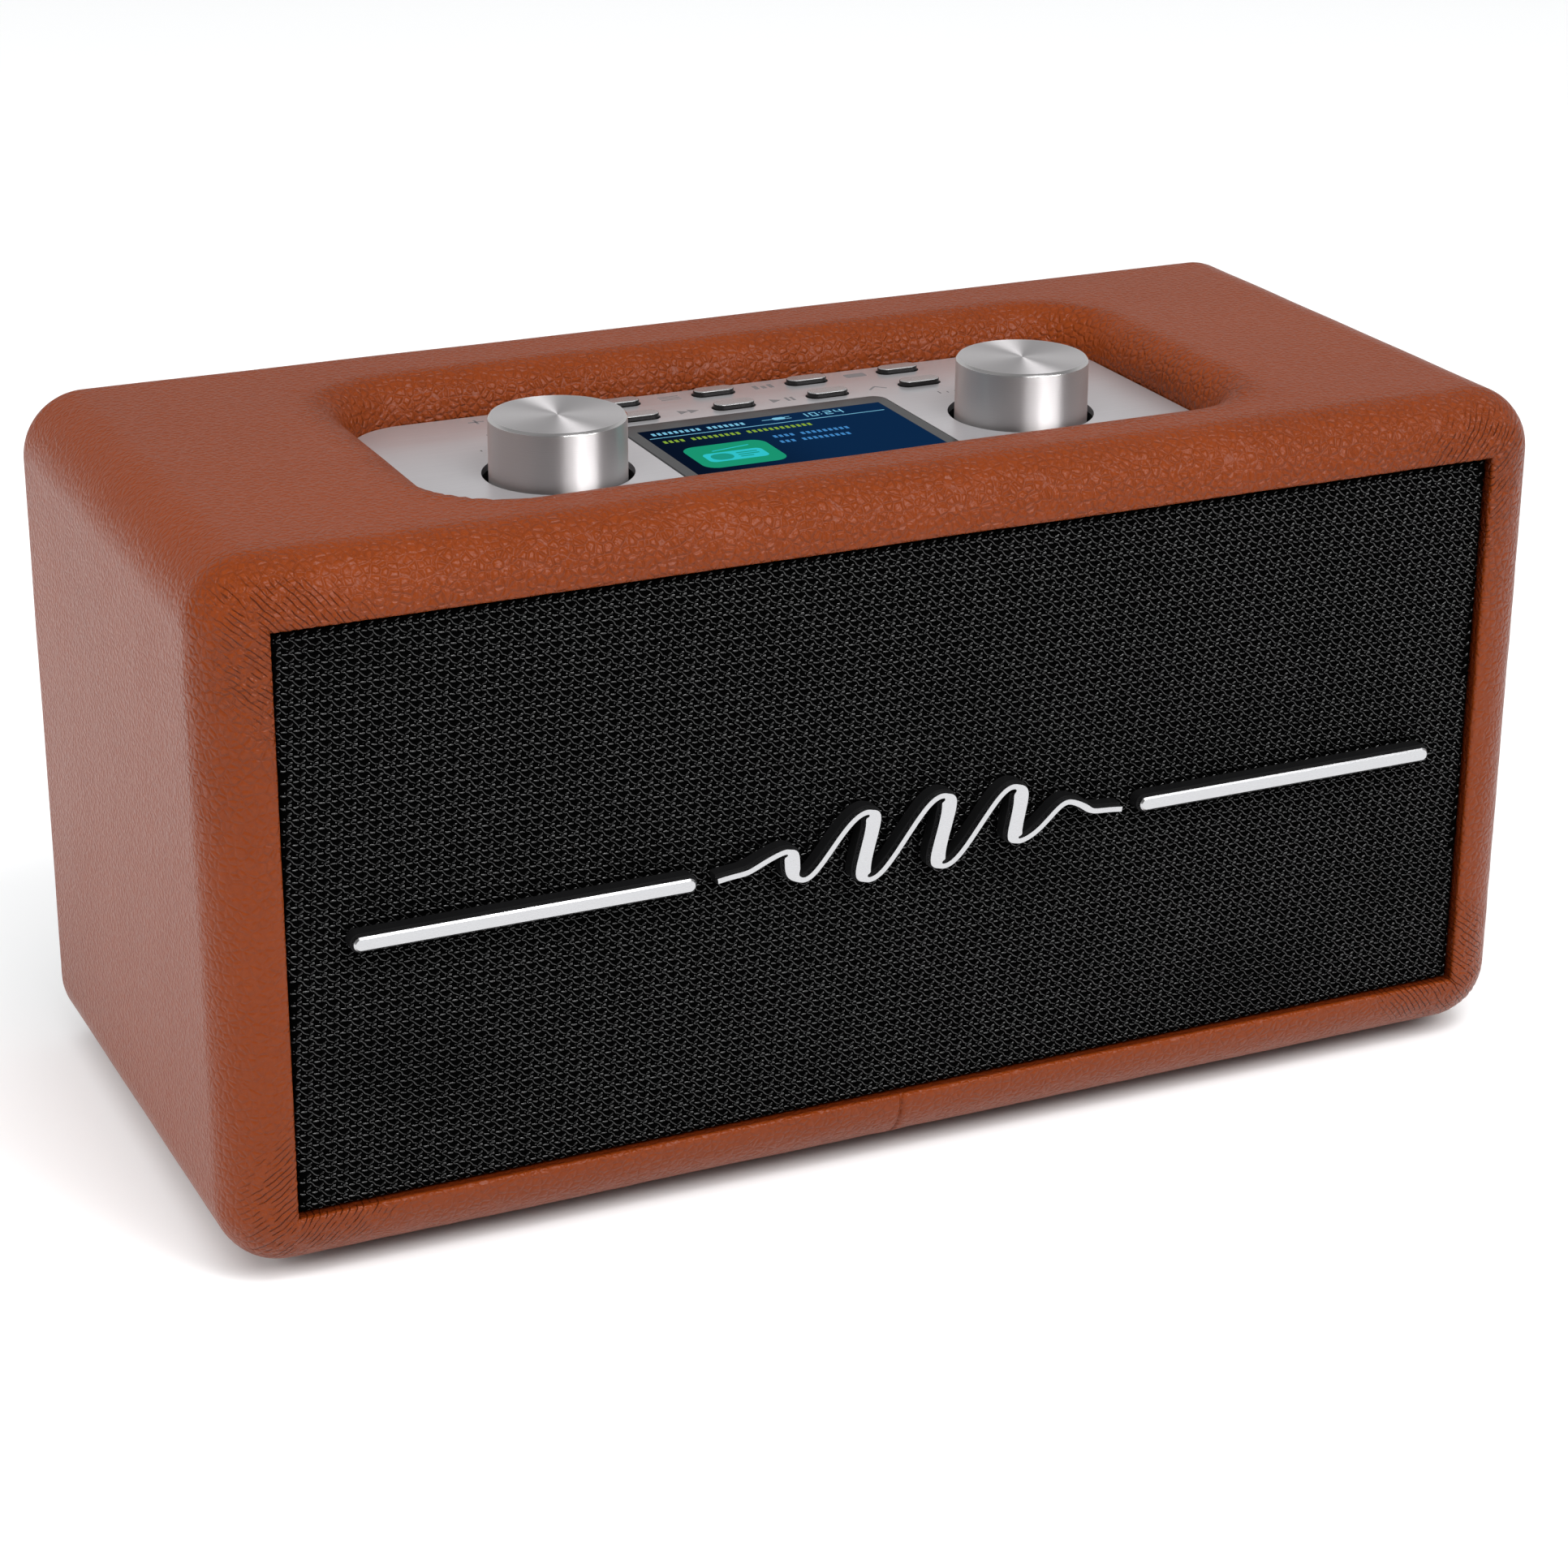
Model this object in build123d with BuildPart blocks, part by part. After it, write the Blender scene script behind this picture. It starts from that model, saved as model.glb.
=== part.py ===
from build123d import *
from math import cos, exp, hypot, pi, sin, tanh
import os

# A leather-covered table radio: a wooden cabinet with a cloth grille in front, a sunken
# control panel on top and a plain back with a whip aerial. Millimetres. X runs along the
# front from left to right, Y from front to back, Z up. The origin is at the middle of the
# whole object's footprint, on the surface that the feet stand on.

os.makedirs("parts", exist_ok=True)

# ---------------------------------------------------------------- cabinet
WIDTH = 300.0
DEPTH = 134.0  # leather front to leather back
HEIGHT = 149.0  # without the feet
FOOT = 3.0
LEATHER = 1.0
SIDE_R = 13.8  # the four edges that run from front to back
FRONT_R = 12.2  # the roll round the front
BACK_R = 5.8
SIDE_MARGIN = 14.0  # leather border beside the grille
CAP_MARGIN = 13.0  # leather border above and below the grille
CLOTH_SET_BACK = 1.75
EMBLEM_PROUD = 4.0  # emblem face in front of the cloth
MAST_PROUD = 8.0  # aerial behind the back

FRONT_Y = (EMBLEM_PROUD - CLOTH_SET_BACK - DEPTH - MAST_PROUD) / 2
BACK_Y = FRONT_Y + DEPTH
MID_Y = (FRONT_Y + BACK_Y) / 2
TOP_Z = FOOT + HEIGHT
MID_Z = FOOT + HEIGHT / 2
OPEN_X = WIDTH - 2 * SIDE_MARGIN  # opening inside the leather lining
OPEN_Z = HEIGHT - 2 * CAP_MARGIN
CAVITY_X = OPEN_X + 2 * LEATHER
CAVITY_Z = OPEN_Z + 2 * LEATHER
CEILING_Z = MID_Z + CAVITY_Z / 2
FLOOR_Z = MID_Z - CAVITY_Z / 2

# ---------------------------------------------------------------- front
CLOTH_T = 0.6
CLOTH_Y = FRONT_Y + CLOTH_SET_BACK
GRILLE_GAP = 0.3
GRILLE_X = OPEN_X - 2 * GRILLE_GAP
GRILLE_Z = OPEN_Z - 2 * GRILLE_GAP
FRAME_Y = CLOTH_Y + CLOTH_T
BAFFLE_Y = FRONT_Y + 9.75  # front face of the baffle
BAFFLE_T = 10.0
FRAME_END_Y = BAFFLE_Y - 0.2
FRAME_RIM = 9.0
PEG_R = 3.0
PEG_LENGTH = 6.0
TRIM_Z = 74.0  # middle of the two bars
BAR_H = 3.0
BAR_INNER_X = 51.1
BAR_OUTER_X = 123.2
FACE_T = 1.2  # bright metal on the trim
BASE_LIP = 0.5  # black base round the bright metal

# ---------------------------------------------------------------- loudspeakers
DRIVER_X = 66.0
FLANGE_R = 41.0
FLANGE_T = 3.0
CUT_R = 35.0
SCREW_CIRCLE_R = 37.9

# ---------------------------------------------------------------- control panel
RECESS_X = 177.8
RECESS_Y = 78.8
RECESS_R = 15.5
RIM_R = 9.0
PLATE_TOP = 142.6
PLATE_T = 1.5
PLATE_GAP = 0.3
TRAY_T = 2.5
KNOB_X = 54.3
KNOB_Y = MID_Y - 5.3
KNOB_R = 14.5
KNOB_TOP = 155.0
WELL_R = 16.0
BUTTON_X0 = -47.05
BUTTON_PITCH = 22.75
BUTTON_ROWS = (MID_Y + 34.6, MID_Y + 23.5)
BUTTON_W = 9.5
BUTTON_D = 3.8
BUTTON_GAP = 0.4
BUTTON_PROUD = 1.2
BUTTON_TRAVEL = 0.8
WINDOW_X = 63.75
WINDOW_Y = 53.7
WINDOW_R = 3.0
SCREEN_X = 57.6
SCREEN_Y = 43.2
SCREEN_MID_Y = MID_Y - 8.2
BOARD_T = 1.6
BOARD_TOP = 127.5

# ---------------------------------------------------------------- back
PANEL_SET_BACK = 3.0
PANEL_T = 4.0
PANEL_Y = BACK_Y - PANEL_SET_BACK  # outer face
BATTEN = 10.0
PORT_Z = 88.0
PORT_R = 16.0
SOCKET_Z = 38.0
INLET_X = -30.0
JACK_X = 0.0
SWITCH_X = 32.0
AERIAL_X = 112.0
AERIAL_Z = 120.0
MAST_R = 3.5
MAST_Y = BACK_Y + MAST_PROUD - MAST_R
MAST_LENGTH = 150.0

# ---------------------------------------------------------------- fasteners
SCREW_R = 1.5
SCREW_LENGTH = 10.0
SCREW_HEAD_R = 2.8
SCREW_HEAD_T = 1.8

BACK_SCREWS = [
    (x, MID_Z + side * (CAVITY_Z - BATTEN) / 2)
    for x in (-132.0, -44.0, 44.0, 132.0)
    for side in (-1, 1)
]
TRAY_SCREWS = [(x, MID_Y + y) for x in (-60.0, 0.0, 60.0) for y in (-44.0, 44.0)]
TRAY_SCREWS += [(-93.6, MID_Y), (93.6, MID_Y)]
POSTS = [(x, MID_Y + y) for x in (-79.0, 79.0) for y in (-29.0, 29.0)]
FEET = [(x, MID_Y + y) for x in (-118.0, 118.0) for y in (-38.0, 38.0)]
PEGS = [(x, MID_Z + z) for x in (-129.0, 129.0) for z in (-54.0, 54.0)]
DRIVER_SCREWS = [
    (side * DRIVER_X + SCREW_CIRCLE_R * cos(pi / 4 + k * pi / 2),
     MID_Z + SCREW_CIRCLE_R * sin(pi / 4 + k * pi / 2))
    for side in (-1, 1)
    for k in range(4)
]
BUTTONS = [(BUTTON_X0 + k * BUTTON_PITCH, y) for y in BUTTON_ROWS for k in range(5)]


def upright(y):
    """A vertical plane at depth y that faces the front, with X and Z as its own axes."""
    return Plane.XZ.offset(-y)


def level(z):
    """A horizontal plane at height z."""
    return Plane.XY.offset(z)


def keep(builder, name):
    """Names a finished piece and writes it."""
    builder.part.label = name
    export_step(builder.part, f"parts/{name}.step")


# ================================================================ cabinet and covering
def cabinet_form(inset):
    """The closed form of the cabinet with its sunken top, taken in by inset all round."""
    top = TOP_Z - inset
    with BuildPart() as form:
        with BuildSketch(upright(BACK_Y - inset)):
            with Locations((0, MID_Z)):
                RectangleRounded(WIDTH - 2 * inset, HEIGHT - 2 * inset, SIDE_R - inset)
        extrude(amount=DEPTH - 2 * inset)
        fillet(form.faces().sort_by(Axis.Y)[0].edges(), FRONT_R - inset)
        fillet(form.faces().sort_by(Axis.Y)[-1].edges(), BACK_R - inset)
        with BuildSketch(level(top)):
            with Locations((0, MID_Y)):
                RectangleRounded(RECESS_X + 2 * inset, RECESS_Y + 2 * inset, RECESS_R + inset)
        extrude(amount=CEILING_Z - top, mode=Mode.SUBTRACT)
        fillet(form.faces().sort_by(Axis.Z)[-1].inner_wires()[0].edges(), RIM_R - inset)
    return form.part


wood_form = cabinet_form(LEATHER)

with BuildPart() as cabinet_shell:
    add(wood_form)
    with BuildSketch(upright(BACK_Y + 1)):
        with Locations((0, MID_Z)):
            Rectangle(CAVITY_X, CAVITY_Z)
    extrude(amount=DEPTH + 2, mode=Mode.SUBTRACT)
    # battens that the back panel is screwed to
    with BuildSketch(upright(PANEL_Y - PANEL_T)):
        with Locations((0, MID_Z)):
            Rectangle(CAVITY_X, CAVITY_Z)
            Rectangle(CAVITY_X - 2 * BATTEN, CAVITY_Z - 2 * BATTEN, mode=Mode.SUBTRACT)
    extrude(amount=12)
    with BuildSketch(upright(PANEL_Y - PANEL_T)):
        with Locations(*BACK_SCREWS):
            Circle(SCREW_R)
    extrude(amount=SCREW_LENGTH - PANEL_T, mode=Mode.SUBTRACT)
    with BuildSketch(level(CEILING_Z)):
        with Locations(*TRAY_SCREWS):
            Circle(SCREW_R)
    extrude(amount=SCREW_LENGTH - 3, mode=Mode.SUBTRACT)
    with BuildSketch(level(FOOT + LEATHER)):
        with Locations(*FEET):
            Circle(SCREW_R)
    extrude(amount=SCREW_LENGTH - LEATHER - 0.6, mode=Mode.SUBTRACT)
keep(cabinet_shell, "cabinet_shell")

with BuildPart() as leather_wrap:
    add(cabinet_form(0))
    add(wood_form, mode=Mode.SUBTRACT)
    for y, depth in ((BACK_Y, LEATHER), (FRONT_Y + LEATHER, LEATHER)):
        with BuildSketch(upright(y)):
            with Locations((0, MID_Z)):
                Rectangle(OPEN_X, OPEN_Z)
        extrude(amount=depth, mode=Mode.SUBTRACT)
    # the leather turns in at both openings and lines their walls
    for y, depth in ((BACK_Y, PANEL_SET_BACK), (BAFFLE_Y, BAFFLE_Y - FRONT_Y)):
        with BuildSketch(upright(y)):
            with Locations((0, MID_Z)):
                Rectangle(CAVITY_X, CAVITY_Z)
                Rectangle(OPEN_X, OPEN_Z, mode=Mode.SUBTRACT)
        extrude(amount=depth)
    with BuildSketch(level(FOOT)):
        with Locations(*FEET):
            Circle(SCREW_R)
    extrude(amount=LEATHER, mode=Mode.SUBTRACT)
keep(leather_wrap, "leather_wrap")

with BuildPart() as rubber_feet:
    with BuildSketch():
        with Locations(*FEET):
            Circle(10)
    extrude(amount=FOOT)
    fillet(rubber_feet.edges().group_by(Axis.Z)[0], 0.8)
    with BuildSketch():
        with Locations(*FEET):
            Circle(SCREW_HEAD_R + 0.4)
    extrude(amount=0.6 + SCREW_HEAD_T, mode=Mode.SUBTRACT)
    with BuildSketch():
        with Locations(*FEET):
            Circle(SCREW_R)
    extrude(amount=FOOT, mode=Mode.SUBTRACT)
keep(rubber_feet, "rubber_feet")

# ================================================================ front: baffle, grille, trim
with BuildPart() as front_baffle:
    with BuildSketch(upright(BAFFLE_Y + BAFFLE_T)):
        with Locations((0, MID_Z)):
            Rectangle(CAVITY_X, CAVITY_Z)
        with Locations((-DRIVER_X, MID_Z), (DRIVER_X, MID_Z)):
            Circle(CUT_R, mode=Mode.SUBTRACT)
    extrude(amount=BAFFLE_T)
    with BuildSketch(upright(BAFFLE_Y + FLANGE_T)):
        with Locations((-DRIVER_X, MID_Z), (DRIVER_X, MID_Z)):
            Circle(FLANGE_R + 0.2)
    extrude(amount=FLANGE_T, mode=Mode.SUBTRACT)
    with BuildSketch(upright(BAFFLE_Y + SCREW_LENGTH)):
        with Locations(*DRIVER_SCREWS):
            Circle(SCREW_R)
    extrude(amount=SCREW_LENGTH, mode=Mode.SUBTRACT)
    with BuildSketch(upright(BAFFLE_Y + PEG_LENGTH + 0.5)):
        with Locations(*PEGS):
            Circle(PEG_R)
    extrude(amount=PEG_LENGTH + 0.5, mode=Mode.SUBTRACT)
keep(front_baffle, "front_baffle")

FRAME_X = GRILLE_X - 2 * CLOTH_T
FRAME_Z = GRILLE_Z - 2 * CLOTH_T
with BuildPart() as grille_frame:
    with BuildSketch(upright(FRAME_END_Y)):
        with Locations((0, MID_Z)):
            Rectangle(FRAME_X, FRAME_Z)
            Rectangle(FRAME_X - 2 * FRAME_RIM, FRAME_Z - 2 * FRAME_RIM, mode=Mode.SUBTRACT)
            Rectangle(10, FRAME_Z - FRAME_RIM)
    extrude(amount=FRAME_END_Y - FRAME_Y)
    # a thin rail behind the cloth carries the trim
    with BuildSketch(upright(FRAME_Y + 2.4)):
        with Locations((0, TRIM_Z + 2)):
            Rectangle(FRAME_X - FRAME_RIM, 16)
    extrude(amount=2.4)
    with BuildSketch(upright(BAFFLE_Y + PEG_LENGTH)):
        with Locations(*PEGS):
            Circle(PEG_R)
    extrude(amount=PEG_LENGTH + 0.2)
    chamfer(grille_frame.faces().sort_by(Axis.Y)[0].outer_wire().edges(), 0.8)
keep(grille_frame, "grille_frame")

with BuildPart() as grille_cloth:
    with BuildSketch(upright(FRAME_END_Y - 1)):
        with Locations((0, MID_Z)):
            Rectangle(GRILLE_X, GRILLE_Z)
    extrude(amount=FRAME_END_Y - 1 - CLOTH_Y)
    chamfer(grille_cloth.faces().sort_by(Axis.Y)[0].edges(), 0.9)
    with BuildSketch(upright(FRAME_END_Y - 1)):
        with Locations((0, MID_Z)):
            Rectangle(FRAME_X, FRAME_Z)
    extrude(amount=FRAME_END_Y - 1 - FRAME_Y, mode=Mode.SUBTRACT)
keep(grille_cloth, "grille_cloth")

# The emblem is a calligraphic wave: it swells in the middle and dies out at both ends,
# leans forward, and is broad on its falling strokes and fine on its rising ones.
WAVE_HALF = 46.5
WAVE_LENGTH = 17.2
WAVE_HEIGHT = 7.9
WAVE_SPREAD = 31.0
WAVE_ROUND = 1.25  # how much the crests are rounded out
WAVE_LEAN = 0.5
WAVE_Z = TRIM_Z + 2.2
STROKE_FINE = 0.55
STROKE_BROAD = 1.7
INNER_SHARE = 0.7  # of a bend's radius, the most that a side may stand inside it
WAVE_STEPS = 260


def wave_point(t):
    """A point on the wave's middle line."""
    swell = WAVE_HEIGHT * exp(-((t / WAVE_SPREAD) ** 4))
    rise = swell * tanh(WAVE_ROUND * cos(2 * pi * t / WAVE_LENGTH)) / tanh(WAVE_ROUND)
    settle = WAVE_Z + (TRIM_Z - WAVE_Z) * (t / WAVE_HALF) ** 4
    return t + WAVE_LEAN * rise, settle + rise


def wave_outline(extra):
    """The wave's two sides, as point lists, widened by extra."""
    upper, lower = [], []
    step = 0.02
    for k in range(WAVE_STEPS + 1):
        t = -WAVE_HALF + 2 * WAVE_HALF * k / WAVE_STEPS
        x, z = wave_point(t)
        ax, az = wave_point(t - step)
        bx, bz = wave_point(t + step)
        dx, dz = bx - ax, bz - az
        run = hypot(dx, dz)
        bend = (dx * (bz + az - 2 * z) - dz * (bx + ax - 2 * x)) * 4 / run ** 3
        fall = max(0.0, -dz / run)
        half = STROKE_FINE + (STROKE_BROAD - STROKE_FINE) * fall ** 4 + extra
        inner = min(half, INNER_SHARE / max(abs(bend), 0.01))
        up = inner if bend > 0 else half
        down = half if bend > 0 else inner
        upper.append((x - dz / run * up, z + dx / run * up))
        lower.append((x + dz / run * down, z - dx / run * down))
    return upper, lower


def wave_plate(back_y, thickness, extra):
    """The wave as a flat plate whose front is thickness nearer than back_y."""
    upper, lower = wave_outline(extra)
    with BuildPart() as plate:
        with BuildSketch(upright(back_y)):
            with BuildLine():
                Spline(*upper)
                Line(upper[-1], lower[-1])
                Spline(*lower)
                Line(lower[0], upper[0])
            make_face()
        extrude(amount=thickness)
    return plate.part


TRIM_BASE_T = EMBLEM_PROUD - FACE_T
FACE_Y = CLOTH_Y - TRIM_BASE_T

with BuildPart() as emblem_base:
    add(wave_plate(CLOTH_Y, TRIM_BASE_T, BASE_LIP))
keep(emblem_base, "emblem_base")

with BuildPart() as emblem_face:
    add(wave_plate(FACE_Y, FACE_T, 0))
keep(emblem_face, "emblem_face")

BAR_LENGTH = BAR_OUTER_X - BAR_INNER_X
BARS = [(side * (BAR_OUTER_X + BAR_INNER_X) / 2, TRIM_Z) for side in (-1, 1)]
with BuildPart() as bar_bases:
    with BuildSketch(upright(CLOTH_Y)):
        with Locations(*BARS):
            SlotOverall(BAR_LENGTH + 2 * BASE_LIP, BAR_H + 2 * BASE_LIP)
    extrude(amount=TRIM_BASE_T)
keep(bar_bases, "bar_bases")

with BuildPart() as bar_faces:
    with BuildSketch(upright(FACE_Y)):
        with Locations(*BARS):
            SlotOverall(BAR_LENGTH, BAR_H)
    extrude(amount=FACE_T)
    chamfer(bar_faces.faces().group_by(Axis.Y)[0].edges(), 0.35)
keep(bar_faces, "bar_faces")

# ================================================================ loudspeakers
# (depth behind the baffle's face, radius) outlines, turned about each driver's axis
CONE_T = 0.7
COIL_R = 10.0
COIL_T = 0.5
COIL_GAP = 0.35
MAGNET_D = 25.5
DRIVER_SHAPES = {
    "basket": [
        (0, 34.6), (0, FLANGE_R), (FLANGE_T, FLANGE_R), (FLANGE_T, CUT_R - 0.3),
        (21, 26.5), (MAGNET_D, 26.5), (MAGNET_D, 12.5), (MAGNET_D - 1.5, 12.5),
        (MAGNET_D - 1.5, 25.2), (20.4, 25.2), (20.4, 23.5), (19.2, 23.5), (19.2, 25.9), (2, 33.2),
    ],
    # one dish: a flared cone with an inverted dome at its neck
    "diaphragm": [
        (9.6, 0), (9.4, 3.5), (8.6, 6.8), (7.2, 9.8), (7.6, 14), (6.6, 19), (4.6, 24), (1.6, 28.4),
        (2.3, 28.8), (5.3, 24.4), (7.4, 19.3), (8.9, 14.4), (11.2, COIL_R + COIL_T),
        (11.2, COIL_R - 0.6), (10.2, 6.6), (10.4, 0),
    ],
    # a half roll of rubber with a flat lip that is glued to the basket's rim
    "surround": [
        (0, 34.9), (-CONE_T, 34.9), (-CONE_T, 33.9), (-2.1, 33.1), (-2.7, 31.4), (-2.0, 29.6),
        (-0.4, 28.5), (1.0, 28.05), (1.6, 28.4), (0.2, 29.1), (-1.3, 30), (-1.9, 31.4),
        (-1.5, 32.6), (0, 34.1),
    ],
    "voice_coil": [(11.2, COIL_R), (11.2, COIL_R + COIL_T), (34, COIL_R + COIL_T), (34, COIL_R)],
    "spider": [
        (18.4, COIL_R + COIL_T), (18.4, 12.4), (17.6, 14.2), (18.4, 16), (17.6, 17.8),
        (18.4, 19.6), (17.6, 21.4), (18.4, 23), (18.4, 25.2), (19.2, 25.2), (19.2, 22.6),
        (18.6, 21.4), (19.2, 19.9), (18.6, 17.8), (19.2, 16), (18.6, 14.2), (19.2, 12),
        (19.2, COIL_R + COIL_T),
    ],
    "magnet": [
        (MAGNET_D, COIL_R + COIL_T + COIL_GAP), (MAGNET_D, 25), (MAGNET_D + 4, 25), (MAGNET_D + 4, 28),
        (MAGNET_D + 15, 28), (MAGNET_D + 15, 25), (MAGNET_D + 19, 25), (MAGNET_D + 19, 0),
        (MAGNET_D, 0), (MAGNET_D, COIL_R - COIL_GAP), (MAGNET_D + 14, COIL_R - COIL_GAP),
        (MAGNET_D + 14, COIL_R + COIL_T + COIL_GAP),
    ],
}


def turned(centre_x, outline):
    """A solid turned about a driver's axis."""
    with BuildPart() as solid:
        with BuildSketch(Plane.YZ.offset(centre_x)):
            with BuildLine():
                Polyline(*[(BAFFLE_Y + d, MID_Z + r) for d, r in outline], close=True)
            make_face()
        revolve(axis=Axis((centre_x, 0, MID_Z), (0, 1, 0)))
    return solid.part


for side, centre_x in (("left", -DRIVER_X), ("right", DRIVER_X)):
    with BuildPart() as basket:
        add(turned(centre_x, DRIVER_SHAPES["basket"]))
        # four windows between the arms of the pressed frame
        with BuildSketch(upright(BAFFLE_Y + 17)):
            with Locations((centre_x, MID_Z)):
                with PolarLocations(30, 4, start_angle=45):
                    Rectangle(16, 26)
        extrude(amount=11, mode=Mode.SUBTRACT)
        with BuildSketch(upright(BAFFLE_Y + SCREW_LENGTH)):
            with Locations(*DRIVER_SCREWS):
                Circle(SCREW_R)
        extrude(amount=SCREW_LENGTH, mode=Mode.SUBTRACT)
    keep(basket, f"{side}_basket")

    for name in ("diaphragm", "surround", "magnet", "voice_coil", "spider"):
        with BuildPart() as piece:
            add(turned(centre_x, DRIVER_SHAPES[name]))
        keep(piece, f"{side}_{name}")

# ================================================================ control panel
PLATE_BASE = PLATE_TOP - PLATE_T
TRAY_BASE = PLATE_BASE - TRAY_T
FLANGE_BASE = CEILING_Z - 3.0
WELL_FLOOR = 136.0
WELL_BASE = 134.0
KNOBS = [(-KNOB_X, KNOB_Y), (KNOB_X, KNOB_Y)]
KNOB_BASE = 138.3

with BuildPart() as control_plate:
    with BuildSketch(level(PLATE_BASE)):
        with Locations((0, MID_Y)):
            RectangleRounded(RECESS_X - 2 * PLATE_GAP, RECESS_Y - 2 * PLATE_GAP, RECESS_R - PLATE_GAP)
        with Locations(*KNOBS):
            Circle(WELL_R, mode=Mode.SUBTRACT)
        with Locations(*BUTTONS):
            SlotOverall(BUTTON_W + 2 * BUTTON_GAP, BUTTON_D + 2 * BUTTON_GAP, mode=Mode.SUBTRACT)
        with Locations((0, SCREEN_MID_Y)):
            RectangleRounded(WINDOW_X, WINDOW_Y, WINDOW_R, mode=Mode.SUBTRACT)
    extrude(amount=PLATE_T)
keep(control_plate, "control_plate")

with BuildPart() as panel_tray:
    # the floor under the plate, and the flange that is screwed up under the cabinet's top
    with BuildSketch(level(TRAY_BASE)):
        with Locations((0, MID_Y)):
            RectangleRounded(RECESS_X - 2 * PLATE_GAP, RECESS_Y - 2 * PLATE_GAP, RECESS_R - PLATE_GAP)
    extrude(amount=TRAY_T)
    with BuildSketch(level(FLANGE_BASE)):
        with Locations((0, MID_Y)):
            RectangleRounded(196, 94, 20)
            RectangleRounded(170, 76, 12, mode=Mode.SUBTRACT)
    extrude(amount=CEILING_Z - FLANGE_BASE)
    with BuildSketch(level(WELL_BASE)):
        with Locations(*KNOBS):
            Circle(WELL_R + 1.5)
    extrude(amount=TRAY_BASE - WELL_BASE)
    with BuildSketch(level(BOARD_TOP)):
        with Locations(*POSTS):
            Circle(3.5)
    extrude(amount=TRAY_BASE - BOARD_TOP)
    with BuildSketch(level(WELL_FLOOR)):
        with Locations(*KNOBS):
            Circle(WELL_R)
    extrude(amount=PLATE_BASE - WELL_FLOOR, mode=Mode.SUBTRACT)
    with BuildSketch(level(WELL_BASE)):
        with Locations(*KNOBS):
            Circle(3.5)
    extrude(amount=WELL_FLOOR - WELL_BASE, mode=Mode.SUBTRACT)
    with BuildSketch(level(TRAY_BASE)):
        with Locations(*BUTTONS):
            SlotOverall(BUTTON_W + 2 * BUTTON_GAP, BUTTON_D + 2 * BUTTON_GAP)
        with Locations((0, SCREEN_MID_Y)):
            Rectangle(SCREEN_X + 2, SCREEN_Y + 2)
    extrude(amount=TRAY_T, mode=Mode.SUBTRACT)
    with BuildSketch(level(BOARD_TOP)):
        with Locations(*POSTS):
            Circle(SCREW_R)
    extrude(amount=SCREW_LENGTH - BOARD_T, mode=Mode.SUBTRACT)
    with BuildSketch(level(FLANGE_BASE)):
        with Locations(*TRAY_SCREWS):
            Circle(SCREW_R)
    extrude(amount=CEILING_Z - FLANGE_BASE, mode=Mode.SUBTRACT)
keep(panel_tray, "panel_tray")

with BuildPart() as display_window:
    with BuildSketch(level(PLATE_BASE)):
        with Locations((0, SCREEN_MID_Y)):
            RectangleRounded(WINDOW_X - 0.3, WINDOW_Y - 0.3, WINDOW_R - 0.15)
    extrude(amount=PLATE_T + 0.1)
    chamfer(display_window.faces().sort_by(Axis.Z)[-1].edges(), 0.25)
keep(display_window, "display_window")

with BuildPart() as lcd_module:
    with BuildSketch(level(TRAY_BASE - 3)):
        with Locations((0, SCREEN_MID_Y)):
            Rectangle(SCREEN_X + 6.4, SCREEN_Y + 6.8)
    extrude(amount=3)
    with BuildSketch(level(TRAY_BASE)):
        with Locations((0, SCREEN_MID_Y)):
            Rectangle(SCREEN_X, SCREEN_Y)
    extrude(amount=TRAY_T)
keep(lcd_module, "lcd_module")

with BuildPart() as control_board:
    with BuildSketch(level(BOARD_TOP - BOARD_T)):
        with Locations((0, MID_Y)):
            RectangleRounded(170, 74, 2)
        with Locations(*POSTS):
            Circle(SCREW_R, mode=Mode.SUBTRACT)
    extrude(amount=BOARD_T)
keep(control_board, "control_board")

with BuildPart() as tact_switches:
    with BuildSketch(level(BOARD_TOP)):
        with Locations(*BUTTONS):
            Rectangle(6, 6)
    extrude(amount=3.5)
    with BuildSketch(level(BOARD_TOP + 3.5)):
        with Locations(*BUTTONS):
            Circle(1.7)
    extrude(amount=0.5)
keep(tact_switches, "tact_switches")

BUTTON_FLANGE_TOP = TRAY_BASE - 0.3
STEM_BASE = BOARD_TOP + 4.0 + BUTTON_TRAVEL + 0.3
for number, (x, y) in enumerate(BUTTONS, start=1):
    with BuildPart() as button:
        with BuildSketch(level(BUTTON_FLANGE_TOP)):
            with Locations((x, y)):
                SlotOverall(BUTTON_W, BUTTON_D)
        extrude(amount=PLATE_TOP + BUTTON_PROUD - BUTTON_FLANGE_TOP)
        fillet(button.faces().sort_by(Axis.Z)[-1].edges(), 0.35)
        with BuildSketch(level(BUTTON_FLANGE_TOP - 1)):
            with Locations((x, y)):
                SlotOverall(BUTTON_W + 2.5, BUTTON_D + 2.2)
        extrude(amount=1)
        with BuildSketch(level(STEM_BASE)):
            with Locations((x, y)):
                Circle(1.6)
        extrude(amount=BUTTON_FLANGE_TOP - 1 - STEM_BASE)
    keep(button, f"button_{number}")

SHAFT_R = 3.0
SHAFT_CLEARANCE = 0.05
SHAFT_BASE = 131.1
with BuildPart() as encoder_nuts:
    with BuildSketch(level(WELL_FLOOR)):
        with Locations(*KNOBS):
            RegularPolygon(5, 6, major_radius=False)
            Circle(3.5, mode=Mode.SUBTRACT)
    extrude(amount=2)
keep(encoder_nuts, "encoder_nuts")

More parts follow.
